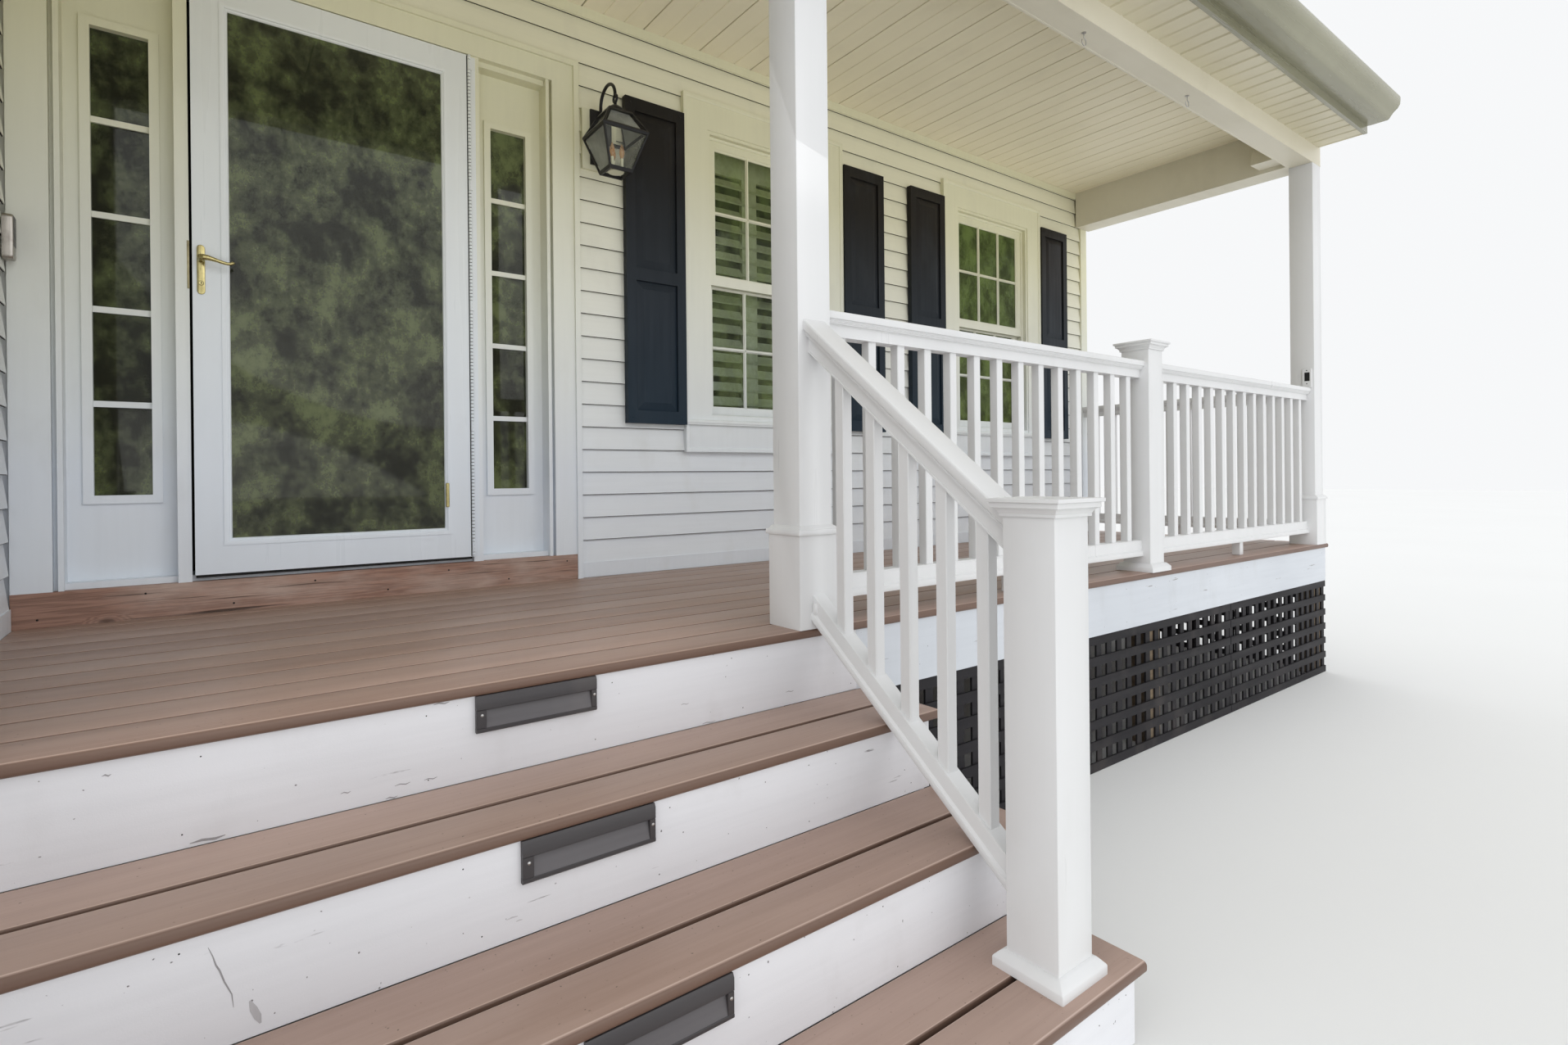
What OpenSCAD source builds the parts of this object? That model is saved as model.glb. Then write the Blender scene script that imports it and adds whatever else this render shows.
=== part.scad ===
// Front porch of a clapboard house: deck, steps, railings, posts, roof edge and
// the stretch of house wall behind it with its entry door, sidelights and windows.
// Millimetres, +Z up. X runs along the wall, with 0 at the middle of the doorway.
// Y = 0 is the outer face of the wall's sheathing, and the porch lies on its -Y side.
// Z = 0 is the ground.

/* [Deck] */
// Height of the deck's top above the ground
deck_h = 780; // [600:5:1000]
// Distance from the wall's sheathing to the front edge of the deck
deck_depth = 1535; // [1300:5:2000]
// Length of the deck from the wing wall to its right edge
deck_l = 6020; // [5800:10:6400]
// Width of a deck board
board_w = 140; // [120:1:150]
// Thickness of a deck board
board_t = 25; // [20:1:32]
// Gap between two deck boards
board_gap = 2; // [1:0.5:6]
// Depth of the deck's joists
joist_h = 184; // [140:1:240]
// Thickness of a joist
joist_t = 38; // [30:1:50]
// Spacing of the joists
joist_pitch = 406; // [300:1:620]
// Width of the square posts under the deck
ground_post_w = 89; // [80:1:140]
// Height of the white skirt board under the deck's edge
skirt_h = 200; // [150:5:260]
// Thickness of the skirt board
skirt_t = 19; // [12:1:30]
// Reach of the deck past the middle of the last post under it
deck_over = 103; // [60:1:200]
// Setback of the skirt and the risers behind the edge of the boards above
nosing = 10; // [5:1:30]

/* [Steps] */
// Height from one tread to the next
rise = 205; // [150:1:220]
// Depth from one nosing to the next
run = 283; // [250:1:330]
// Gap between the two boards of a tread
tread_gap = 5; // [3:0.5:8]
// Thickness of a riser board
riser_t = 19; // [12:1:30]
// Distance from the right stair rail to the right ends of the treads
tread_side = 188; // [120:1:260]
// Setback of the stringers from the ends of the treads
tread_over = 35; // [10:1:60]
// Thickness of a stringer
stringer_t = 38; // [25:1:60]
// Width of a step light
step_light_w = 278; // [150:1:320]
// Height of a step light
step_light_h = 80; // [60:1:120]

/* [Posts and rails] */
// Width of a porch post
post_w = 124; // [90:1:140]
// Width of the box around a post's foot
post_box_w = 146; // [142:1:148]
// Height of the box around a post's foot
post_box_h = 272; // [150:1:400]
// Distance from the wall's sheathing to the posts' centre line
post_y = 1461; // [1200:1:1900]
// Place of the stair post along the wall
stair_post_x = 1012; // [940:1:1200]
// Place of the end post along the wall
end_post_x = 5012; // [4800:1:5020]
// Place of the newel between them
mid_newel_x = 3028; // [2400:1:3600]
// Width of a newel's sleeve
newel_w = 124; // [90:1:140]
// Height of a stair newel above its tread
newel_h = 1008; // [900:1:1200]
// Width of a newel's flat cap
newel_cap_w = 176; // [150:1:200]
// Height of the cap with the cove under it
newel_cap_h = 39; // [30:1:60]
// Height of the middle newel above the rails' tops
newel_over = 90; // [40:1:160]
// Height of the rails' tops above the deck
rail_h = 944; // [850:1:1100]
// Width of a top rail
rail_w = 88; // [60:1:110]
// Height of a top rail
rail_t = 75; // [60:1:90]
// Height of the flat slab along a top rail's upper side
rail_slab_t = 24; // [18:1:35]
// Height of a stair rail's top above the deck at its post
stair_rail_h = 900; // [850:1:1000]
// Fall of a stair rail over its length beyond that of the stairs
stair_rail_fall = 50; // [0:1:60]
// Height of a stair's bottom rail above the deck at its post
stair_low_h = 107; // [95:1:130]
// Fall of that rail over its length beyond that of the stairs
stair_low_fall = 28; // [0:1:28]
// Number of balusters in a stair rail
stair_balusters = 5; // [4:1:8]
// Spacing of the balusters in a stair rail
stair_baluster_pitch = 119; // [90:1:130]
// Gap between the deck and the bottom rail
rail_foot = 70; // [40:1:100]
// Height of a bottom rail
low_rail_h = 71; // [50:1:100]
// Height of the flange along a bottom rail's lower edge
low_lip_h = 19; // [10:1:30]
// Width of the block under a bottom rail's middle
foot_block_w = 40; // [30:1:60]
// Distance from a railing's ends to its outer balusters
baluster_end = 89; // [60:1:110]
// Width of a baluster
baluster_w = 34; // [25:1:45]
// Spacing of the balusters
baluster_pitch = 130; // [90:1:140]

/* [House wall] */
// Thickness of the house wall behind the siding
wall_t = 178; // [150:1:250]
// Height of the siding's laps
lap_h = 101.6; // [80:0.1:160]
// Thickness of a lap at its lower edge
lap_t = 18; // [8:1:25]
// Thickness of the flat boards around doors and windows
casing_t = 30; // [20:1:45]
// Height of the base board above the deck
base_h = 66; // [40:1:150]
// Width of the corner board
corner_w = 77; // [50:1:140]

/* [Entry] */
// Width of the entry between its outer casings
entry_w = 1810; // [1700:1:1900]
// Width of the casing boards
entry_casing_w = 96; // [60:1:110]
// Width of the band around the entry's casings
entry_band_w = 24; // [15:1:40]
// Distance from the ceiling down to the top of the storm door
door_drop = 384; // [300:1:450]
// Height of the foot of the storm door above the deck
door_foot = 130; // [100:1:180]
// Width of the storm door
door_w = 908; // [800:1:940]
// Thickness of the storm door
door_t = 30; // [24:1:40]
// Radius of the storm door's hinge
hinge_r = 6; // [5:0.5:7]
// Radius of the hinge's pin
pin_r = 3; // [2:0.5:3.5]
// Height of a fixed knuckle of the hinge
hinge_l = 40; // [20:1:80]
// Width of the storm door's stiles
stile_w = 96; // [70:1:130]
// Height of the storm door's bottom rail
door_rail_h = 112; // [80:1:250]
// Height of the head casing
head_h = 121; // [80:1:150]
// Height of the weathered sill board
sill_h = 108; // [60:1:125]
// Distance that the mullions stand out beside the door
mullion_d = 25; // [15:1:30]
// Width of the mullions beside the door
mullion_w = 38; // [25:1:60]
// Width of the side jambs
jamb_w = 26; // [18:1:40]
// Depth of the entry's recess from the sheathing to the sidelights
recess_d = 55; // [30:1:70]
// Width of a sidelight's glass
sidelight_glass_w = 150; // [100:1:160]
// Height of the foot of a sidelight's glass above the deck
sidelight_foot = 403; // [300:1:700]
// Distance from the storm door's top down to the top of the sidelights' glass
sidelight_drop = 236; // [180:1:300]

/* [Windows] */
// From the entry's right band to the middle of the first window
window_1_gap = 1061; // [971:1:1121]
// Place of the middle of the second window
window_2_x = 3901; // [3700:1:3960]
// Width of a window's frame
window_w = 770; // [600:1:820]
// Height of a window's foot above the deck
window_foot = 725; // [600:1:900]
// Distance from the ceiling down to a window's top
window_drop = 375; // [330:1:450]
// Width of a window's casing
window_casing_w = 137; // [90:1:138]
// Width of a sash's stiles and rails
sash_w = 48; // [35:1:65]
// Width of a blind shutter
shutter_w = 315; // [250:1:320]
// Height of the head casing over a window
window_head_h = 146; // [90:1:150]
// Height of the apron board under a window
window_apron_h = 158; // [90:1:170]
// Distance that the blind shutters reach past the window's top and foot
shutter_over = 28; // [0:1:60]
// Thickness of a blind shutter
shutter_t = 28; // [20:1:40]

/* [Porch roof] */
// Height of the ceiling above the deck
ceiling_h = 2552; // [2450:1:2700]
// Distance from the ceiling down to the beams' undersides
beam_drop = 257; // [150:1:280]
// Width of the beams
beam_w = 126; // [125:1:145]
// Width of the beam along the porch's right end
end_beam_w = 170; // [126:1:200]
// Height of the beams
beam_h = 300; // [250:5:320]
// Thickness of the ceiling's and the soffit's panels
ceiling_t = 12; // [8:1:20]
// Distance from the ceiling down to the front soffit
soffit_drop = 150; // [60:1:200]
// Height of the trim strip under the ceiling
strip_h = 45; // [30:1:80]
// Distance that the soffit reaches in front of the beam
soffit_d = 222; // [150:1:350]
// Height of the gutter
gutter_h = 112; // [80:1:150]
// Width of the gutter at its top
gutter_w = 150; // [100:1:160]
// Rise of the roof in its depth
roof_slope = 18; // [10:1:30]
// Thickness of the roof
roof_t = 30; // [20:1:60]

/* [Lattice] */
// Spacing of the lattice's bars
lattice_pitch = 79; // [60:1:110]
// Width of a bar
lattice_bar_w = 37; // [25:1:50]
// Thickness of one layer of bars
lattice_t = 8; // [6:1:15]
// Place of the joint between the two front panels
lattice_joint_x = 3776; // [3000:1:4300]

/* [Lantern] */
// From the entry's right band to the middle of the lantern
lantern_gap = 101; // [71:1:131]
// Height of the lantern's eave above the deck
lantern_eave = 1931; // [1700:1:2000]
// Width of the lantern at its eave
lantern_w = 216; // [180:1:240]
// Width of the lantern at its foot
lantern_foot_w = 105; // [80:1:160]
// Width of the lantern's roof at its cap
lantern_cap_w = 108; // [80:1:140]
// Height of the lantern's roof
lantern_roof_h = 95; // [70:1:120]
// Height of the lantern's glass body
lantern_h = 167; // [120:1:220]
// Width of the lantern's bars
lantern_bar = 8; // [5:0.5:12]
// Height of the lantern's bottom frame
lantern_foot_t = 14; // [8:1:20]
// Height of the lantern's eave frame
lantern_eave_t = 10; // [6:1:16]

/* [Hidden] */
$fn = 32;

eps = 0.5;
head_gap = 8;
jamb_t = 22;
sash_t = 30;
pane_t = 6;
handle_in = 24;
plate_w = 38;
plate_h = 182;
plate_z = 1161;
lever_z = 1180;
lever_l = 95;
lantern_block_w = 164;
lantern_block_down = 102;
lantern_block_up = 168;
lantern_plate_side = 46;
lantern_plate_w = 102;
lantern_plate_down = 80;
lantern_plate_h = 246;
eave_rise = 160;
bell_y = -94;
bell_z = 1112;
bell_size = [26, 50, 135];
shutter_stile_w = 48;
shutter_rail_w = 60;
shutter_split = 0.46;
step_light_x = 34;
step_light_d = 12;
collar_out = 7;
collar_h = 16;
newel_skirt_out = 22;
fascia_t = 19;
gutter_foot = 42;
roof_lip = 60;
trim_step = 3;
board_pitch = board_w + board_gap;
wing_x = -entry_w / 2;
deck_x1 = wing_x + deck_l;
corner_x = end_post_x + 33;
porch_x1 = end_post_x + post_w / 2 + 2;
end_beam_x0 = porch_x1 - end_beam_w;
door_top = ceiling_h - door_drop;
window_top = ceiling_h - window_drop;
beam_foot = ceiling_h - beam_drop;
soffit_h = ceiling_h - soffit_drop;
siding_top = deck_h + ceiling_h - strip_h;
band_x = entry_w / 2 + entry_band_w;
window_1_x = band_x + window_1_gap;
band_d = 10;
face_y = -lap_t - 4;
board_zone = deck_depth + face_y;
board_count = ceil(board_zone / board_pitch);
stair_x0 = wing_x - tread_over;
stair_x1 = stair_post_x + tread_side;
left_post_x = wing_x + post_box_w / 2 + 14;
skirt_y = -deck_depth + nosing;
skirt_x1 = deck_x1 - nosing - 10;
wall_foot = deck_h - board_t - joist_h - 40;
roof_y = -post_y - beam_w / 2 - soffit_d;
eave_z = deck_h + soffit_h + eave_rise;
roof_rise = tan(roof_slope);
roof_top = roof_z(0) + roof_t;
wing_y = -post_y + beam_w / 2;
opening_w = entry_w - 2 * entry_casing_w;
roof_x0 = wing_x - lap_t - wall_t;
wall_x1 = corner_x - 22;
seat = 0.3;

function tread_z(i) = deck_h - i * rise;
function nose_y(i) = -deck_depth - i * run;
function roof_z(y) = eave_z + roof_rise * (y - roof_y + fascia_t);

// A box given by its two far corners
module span(a, b) {
    translate([min(a[0], b[0]), min(a[1], b[1]), min(a[2], b[2])])
        cube([abs(b[0] - a[0]), abs(b[1] - a[1]), abs(b[2] - a[2])]);
}

// A flat rectangular frame in the XZ plane, standing between two corners
module frame_xz(x0, x1, z0, z1, w, y0, y1, foot = -1) {
    low = foot < 0 ? w : foot;
    difference() {
        span([x0, y0, z0], [x1, y1, z1]);
        span([x0 + w, y0 - 1, z0 + low], [x1 - w, y1 + 1, z1 - w]);
    }
}

module foundation_wall() {
    color("gray") span([wing_x - lap_t - wall_t, 0, 0], [wall_x1, wall_t + 50, wall_foot]);
}

module wing_foundation() {
    color("gray") span([wing_x - lap_t - wall_t, wing_y, 0], [wing_x - lap_t, 0, wall_foot]);
}

// The edge of the house floor, which the wall stands on
module floor_band() {
    color("white") span([wing_x - lap_t, 0, wall_foot], [wall_x1, wall_t, deck_h]);
}

// The full-height pieces of the front wall beside its openings
module wall_piers() {
    w = window_w / 2;
    color("white")
        for (p = [[wing_x - lap_t, -opening_w / 2], [opening_w / 2, window_1_x - w],
                  [window_1_x + w, window_2_x - w], [window_2_x + w, wall_x1]])
            span([p[0], 0, deck_h], [p[1], wall_t, roof_top]);
}

// The pieces of the front wall over the entry and over and under the windows
module wall_infills() {
    w = window_w / 2;
    color("white") {
        span([-opening_w / 2, 0, deck_h + door_top + head_gap], [opening_w / 2, wall_t, roof_top]);
        for (x = [window_1_x, window_2_x]) {
            span([x - w, 0, deck_h], [x + w, wall_t, deck_h + window_foot]);
            span([x - w, 0, deck_h + window_top], [x + w, wall_t, roof_top]);
        }
    }
}

module wing_wall() {
    color("white") translate([wing_x - lap_t - wall_t, 0, 0]) rotate([90, 0, 90]) linear_extrude(wall_t)
        polygon([[wing_y, wall_foot], [wall_t, wall_foot], [wall_t, roof_top], [0, roof_top],
                 [0, roof_z(0) - seat], [wing_y, roof_z(wing_y) - seat]]);
}

// The lapped outline of the clapboards, with its back on the Y = 0 plane
module lap_profile(z0, z1) {
    laps = ceil((z1 - z0) / lap_h);
    intersection() {
        polygon(concat([[0, z0]],
            [for (i = [0 : laps - 1], k = [0, 1])
                [-(k == 0 ? lap_t : lap_t * 0.3), z0 + (i + k) * lap_h]],
            [[0, z0 + laps * lap_h]]));
        translate([-lap_t - 1, z0]) square([lap_t + 1, z1 - z0]);
    }
}

// A sheet of clapboards along X
module siding(x0, x1, z0, z1) {
    translate([x0, 0, 0]) rotate([90, 0, 90]) linear_extrude(x1 - x0) lap_profile(z0, z1);
}

module front_siding() {
    color("ivory") difference() {
        siding(wing_x, corner_x - corner_w, deck_h + base_h, siding_top);
        span([-entry_w / 2, -lap_t - 1, 0], [band_x, 1, deck_h + door_top + head_h]);
        for (x = [window_1_x, window_2_x])
            span([x - window_w / 2 - window_casing_w, -lap_t - 1, deck_h + window_foot - window_apron_h],
                 [x + window_w / 2 + window_casing_w, 1, deck_h + window_top + window_head_h]);
        span([lantern_x - lantern_block_w / 2, -lap_t - 1, lantern_z - lantern_block_down],
             [lantern_x + lantern_block_w / 2, 1, lantern_z + lantern_block_up]);
    }
}

module wing_siding() {
    color("ivory") translate([wing_x - lap_t, wing_y, 0]) rotate([0, 0, 90])
        siding(corner_w, -wing_y - casing_t - band_d, deck_h + base_h, siding_top);
}

// Base boards, corner boards and the strips under the ceiling, flat on the sheathing
module wall_trim() {
    top = deck_h + ceiling_h;
    board_y = face_y - trim_step;
    wing_face = wing_x + 4;
    color("white") {
        span([band_x, face_y, deck_h], [corner_x - corner_w - seat, 0, deck_h + base_h]);
        span([wing_x - lap_t, wing_y + corner_w + seat, deck_h],
             [wing_face, -casing_t - band_d - seat, deck_h + base_h]);
        span([wing_x - lap_t, wing_y, deck_h], [wing_face, wing_y + corner_w, top]);
        span([corner_x - corner_w, board_y, deck_h], [corner_x, 0, top]);
        span([wing_x, board_y, siding_top], [corner_x - corner_w - seat, 0, top]);
        span([wing_x - lap_t, wing_y + corner_w + seat, siding_top], [wing_face, board_y - seat, top]);
    }
}

// The corner board's second face, along the end of the house wall
module corner_return() {
    color("white") span([wall_x1, 0, deck_h], [corner_x, wall_t, deck_h + ceiling_h]);
}

// Flat boards beside and over the entry, with a thicker band around them
module entry_casing() {
    top = deck_h + door_top;
    head = top + head_h;
    color("white") union() {
        for (s = [-1, 1])
            span([s * entry_w / 2, -casing_t, deck_h + sill_h],
                 [s * opening_w / 2, 0, top + head_gap + eps]);
        span([-entry_w / 2, -casing_t, top + head_gap], [entry_w / 2, 0, head]);
        span([entry_w / 2, -casing_t - band_d, deck_h], [band_x, 0, head]);
        span([-entry_w / 2, -casing_t - band_d, head - entry_band_w], [band_x, 0, head]);
    }
}

sidelight_x0 = opening_w / 2 - jamb_w;
mullion_x = door_w / 2 + head_gap;
sidelight_x1 = mullion_x + mullion_w;
sidelight_mid = (sidelight_x0 + sidelight_x1) / 2;
sidelight_top = door_top - sidelight_drop;
pane_y = recess_d + 15;

// Jambs with a narrow lip, mullions, head and threshold of the entry
module entry_frame() {
    top = deck_h + door_top + head_gap;
    low = deck_h + sill_h;
    back = wall_t - 20;
    color("white") union() {
        for (s = [-1, 1]) {
            span([s * opening_w / 2, 0, low], [s * sidelight_x0, back, top]);
            span([s * (sidelight_x0 + 14), -mullion_d, low], [s * sidelight_x0, eps, top]);
            span([s * sidelight_x1, -mullion_d, low], [s * mullion_x, back, top]);
        }
        span([-sidelight_x0 - eps, 0, top - 22], [sidelight_x0 + eps, back, top]);
        span([-sidelight_x0 - eps, 0, low], [sidelight_x0 + eps, back, low + 20]);
    }
}

// One sidelight: a leaf with a beaded opening of five lights
module sidelight(x0, x1) {
    mid = (x0 + x1) / 2;
    gw = sidelight_glass_w;
    g0 = deck_h + sidelight_foot;
    g1 = deck_h + sidelight_top;
    bead = 27;
    bar = 20;
    light = (g1 - g0 - 4 * bar) / 5;
    union() {
        difference() {
            span([x0, recess_d, deck_h + sill_h + 20], [x1, recess_d + 35, deck_h + door_top - 14]);
            span([mid - gw / 2, recess_d - 1, g0], [mid + gw / 2, recess_d + 36, g1]);
        }
        frame_xz(mid - gw / 2 - bead, mid + gw / 2 + bead, g0 - bead, g1 + bead, bead,
                 recess_d - 10, recess_d + eps);
        for (i = [1 : 4])
            span([mid - gw / 2 - eps, pane_y - 8, g0 + i * (light + bar) - bar],
                 [mid + gw / 2 + eps, pane_y, g0 + i * (light + bar)]);
    }
}

module sidelight_left() {
    color("white") sidelight(-sidelight_x0, -sidelight_x1);
}

module sidelight_right() {
    color("white") sidelight(sidelight_x1, sidelight_x0);
}

module sidelight_glass() {
    gw = sidelight_glass_w;
    color("lightblue", 0.4) for (s = [-1, 1])
        span([s * sidelight_mid - gw / 2, pane_y, deck_h + sidelight_foot],
             [s * sidelight_mid + gw / 2, pane_y + pane_t, deck_h + sidelight_top]);
}

module sill_board() {
    color("sienna") union() {
        span([-entry_w / 2, -casing_t - 4, deck_h], [entry_w / 2, 0, deck_h + sill_h]);
        span([-opening_w / 2, -eps, deck_h], [opening_w / 2, wall_t, deck_h + sill_h]);
    }
}

door_y0 = -door_t - 6;
glass_x = door_w / 2 - stile_w;
hinge_x = door_w / 2 + 3;
hinge_y = door_y0 - 3;
hinge_z = [for (i = [0 : 4]) deck_h + door_foot + 20 + i * (door_top - door_foot - 40 - hinge_l) / 4];

module at_hinge(z) {
    translate([hinge_x, hinge_y, z]) children();
}

// The hinge's fixed leaf with its knuckles and pin, screwed to the mullion
module door_hinge() {
    z0 = deck_h + door_foot;
    z1 = deck_h + door_top;
    color("white") union() {
        span([mullion_x, -mullion_d - 3, z0], [mullion_x + 22, -mullion_d, z1]);
        at_hinge(z0) cylinder(r = pin_r, h = z1 - z0);
        for (z = hinge_z) {
            at_hinge(z) cylinder(r = hinge_r, h = hinge_l);
            span([hinge_x, hinge_y - hinge_r, z], [mullion_x + 4, -mullion_d - 3 + eps, z + hinge_l]);
        }
    }
}

// The door's frame with the knuckles along its right edge
module storm_door() {
    z0 = deck_h + door_foot;
    z1 = deck_h + door_top;
    color("white") difference() {
        union() {
            difference() {
                span([-door_w / 2, door_y0, z0], [door_w / 2, door_y0 + door_t, z1]);
                span([-glass_x, door_y0 - 1, z0 + door_rail_h], [glass_x, 1, z1 - stile_w]);
            }
            at_hinge(z0) cylinder(r = hinge_r, h = z1 - z0);
        }
        at_hinge(z0 - 1) cylinder(r = pin_r + seat, h = z1 - z0 + 2);
        for (z = hinge_z) at_hinge(z - 0.5) cylinder(r = hinge_r + 0.6, h = hinge_l + 1);
    }
}

module storm_glass() {
    y = door_y0 + door_t / 2;
    color("lightblue", 0.4)
        span([-glass_x, y - pane_t / 2, deck_h + door_foot + door_rail_h],
             [glass_x, y + pane_t / 2, deck_h + door_top - stile_w]);
}

module door_plate() {
    x = -door_w / 2 + handle_in;
    color("goldenrod") translate([x, door_y0, deck_h + plate_z]) rotate([90, 0, 0])
        linear_extrude(5) union() {
            square([plate_w, plate_h - plate_w], center = true);
            for (s = [-1, 1]) translate([0, s * (plate_h - plate_w) / 2]) circle(d = plate_w);
        }
}

module door_lever() {
    x = -door_w / 2 + handle_in;
    z = deck_h + lever_z;
    color("goldenrod") union() {
        translate([x, door_y0 - 5, z]) rotate([90, 0, 0]) cylinder(d = 18, h = 40);
        translate([x, door_y0 - 40, z]) rotate([0, 90, 0]) cylinder(d = 13, h = lever_l);
    }
}

// One shape per window, at the window's middle
module at_windows() {
    for (x = [window_1_x, window_2_x]) translate([x, 0, deck_h]) children();
}

// Casings with a ledge, and the frame set into the wall behind them
module window_frames() {
    w = window_w / 2;
    c = window_casing_w;
    foot = window_foot - window_apron_h;
    color("white") at_windows() union() {
        difference() {
            span([-w - c, -casing_t, foot], [w + c, 0, window_top + window_head_h]);
            span([-w + 6, -casing_t - 1, window_foot + 6], [w - 6, 1, window_top - 6]);
        }
        frame_xz(-w, w, window_foot, window_top, jamb_t, -casing_t + 6, wall_t - 6);
        span([-w - c, -casing_t - 14, window_foot - 24], [w + c, -casing_t + eps, window_foot - 2]);
    }
}

window_mid = (window_top + window_foot) / 2 - 14;

module sash(z0, z1, y0) {
    w = window_w / 2 - jamb_t;
    frame_xz(-w, w, z0, z1, sash_w, y0, y0 + sash_t);
}

module upper_sashes() {
    color("white") at_windows() sash(window_mid - sash_w / 2, window_top - jamb_t, 12);
}

module lower_sashes() {
    color("white") at_windows() sash(window_foot + jamb_t, window_mid + sash_w / 2, 46);
}

module window_glass() {
    w = window_w / 2 - jamb_t - sash_w;
    color("lightblue", 0.4) at_windows() {
        span([-w, 24, window_mid + sash_w / 2], [w, 28, window_top - jamb_t - sash_w]);
        span([-w, 58, window_foot + jamb_t + sash_w], [w, 62, window_mid - sash_w / 2]);
    }
}

// Louvred blinds inside each window, with two banks of slats between their stiles
louvre_pitch = 77;
louvre_h = 59;
louvre_tilt = 37;
louvre_head_h = 105;
louvre_foot_h = 61;
louvre_mid_w = 97;
louvre_stile_w = 71;
louvre_x = window_w / 2 - jamb_t - seat;
louvre_l = louvre_x - louvre_stile_w - louvre_mid_w / 2;

module inner_shutters() {
    w = louvre_x;
    z0 = window_foot + jamb_t + seat;
    z1 = window_top - jamb_t - seat;
    y1 = wall_t - 8;
    y0 = y1 - 22;
    slat_z0 = z0 + louvre_foot_h;
    slat_z1 = z1 - louvre_head_h;
    count = round((slat_z1 - slat_z0) / louvre_pitch);
    pitch = (slat_z1 - slat_z0) / count;
    color("whitesmoke") at_windows() union() {
        difference() {
            span([-w, y0, z0], [w, y1, z1]);
            for (side = [-1, 1]) translate([side * (w + louvre_mid_w / 2 - louvre_stile_w) / 2, 0, 0])
                span([-louvre_l / 2, y0 - 1, slat_z0], [louvre_l / 2, y1 + 1, slat_z1]);
        }
        for (i = [0 : count - 1]) translate([-w + 20, (y0 + y1) / 2, slat_z0 + (i + 0.5) * pitch])
            rotate([-louvre_tilt, 0, 0]) translate([0, -4, -louvre_h / 2]) cube([2 * w - 40, 8, louvre_h]);
    }
}

// A raised panel's sunk border, with its bevelled field left standing
module sunk_panel(w, h, depth, bevel) {
    difference() {
        translate([-w / 2, -1, -h / 2]) cube([w, depth + 1, h]);
        intersection() {
            translate([0, 0, -h / 2]) linear_extrude(h)
                polygon([[-w / 2, depth], [bevel - w / 2, 2], [w / 2 - bevel, 2], [w / 2, depth]]);
            translate([-w / 2, 0, 0]) rotate([90, 0, 90]) linear_extrude(w)
                polygon([[depth, -h / 2], [2, bevel - h / 2], [2, h / 2 - bevel], [depth, h / 2]]);
        }
    }
}

// A blind shutter with two raised panels
module blind_shutter(x) {
    z0 = deck_h + window_foot - shutter_over;
    z1 = deck_h + window_top + shutter_over;
    mid = z0 + (z1 - z0) * shutter_split;
    rail = shutter_rail_w;
    y0 = -casing_t - shutter_t + 8;
    translate([x, 0, 0]) difference() {
        span([-shutter_w / 2, y0, z0], [shutter_w / 2, -lap_t - seat, z1]);
        for (p = [[z0 + rail, mid - rail / 2], [mid + rail / 2, z1 - rail]])
            translate([0, y0, (p[0] + p[1]) / 2])
                sunk_panel(shutter_w - 2 * shutter_stile_w, p[1] - p[0], 10, 38);
    }
}

shutter_off = window_w / 2 + window_casing_w + shutter_w / 2 + 2;

module shutters_window_1() {
    color("#20242c") for (s = [-1, 1]) blind_shutter(window_1_x + s * shutter_off);
}

module shutters_window_2() {
    color("#20242c") for (s = [-1, 1]) blind_shutter(window_2_x + s * shutter_off);
}

lantern_x = band_x + lantern_gap;
lantern_y = -195;
lantern_z = deck_h + lantern_eave;
lantern_top = lantern_z + lantern_roof_h;
hook_r = (-casing_t - 18 - lantern_y) / 2;

// A square frustum standing on z = 0, cut from two crossing wedges
module frustum(w0, w1, h) {
    w = max(w0, w1);
    outline = [[-w0 / 2, 0], [w0 / 2, 0], [w1 / 2, h], [-w1 / 2, h]];
    intersection() {
        translate([0, w / 2, 0]) rotate([90, 0, 0]) linear_extrude(w) polygon(outline);
        translate([-w / 2, 0, 0]) rotate([90, 0, 90]) linear_extrude(w) polygon(outline);
    }
}

// The four bars along the edges of a square frustum, with frames at its top and foot
module cage(w0, w1, h, bar, foot, head) {
    k = (w1 - w0) / h;
    v0 = w0 + k * foot;
    v1 = w1 - k * head;
    hole0 = min(w0, v0) - 2 * bar - 2;
    hole1 = min(w1, v1) - 2 * bar - 2;
    gap = [[bar - v0 / 2, foot], [v0 / 2 - bar, foot], [v1 / 2 - bar, h - head], [bar - v1 / 2, h - head]];
    w = max(w0, w1) + 2;
    difference() {
        frustum(w0, w1, h);
        translate([0, w / 2, 0]) rotate([90, 0, 0]) linear_extrude(w) polygon(gap);
        translate([-w / 2, 0, 0]) rotate([90, 0, 90]) linear_extrude(w) polygon(gap);
        translate([-hole0 / 2, -hole0 / 2, -1]) cube([hole0, hole0, foot + 2]);
        translate([-hole1 / 2, -hole1 / 2, h - head - 1]) cube([hole1, hole1, head + 2]);
    }
}

module lantern_block() {
    w = lantern_block_w;
    color("white") span([lantern_x - w / 2, -casing_t, lantern_z - lantern_block_down],
                        [lantern_x + w / 2, 0, lantern_z + lantern_block_up]);
}

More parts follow.
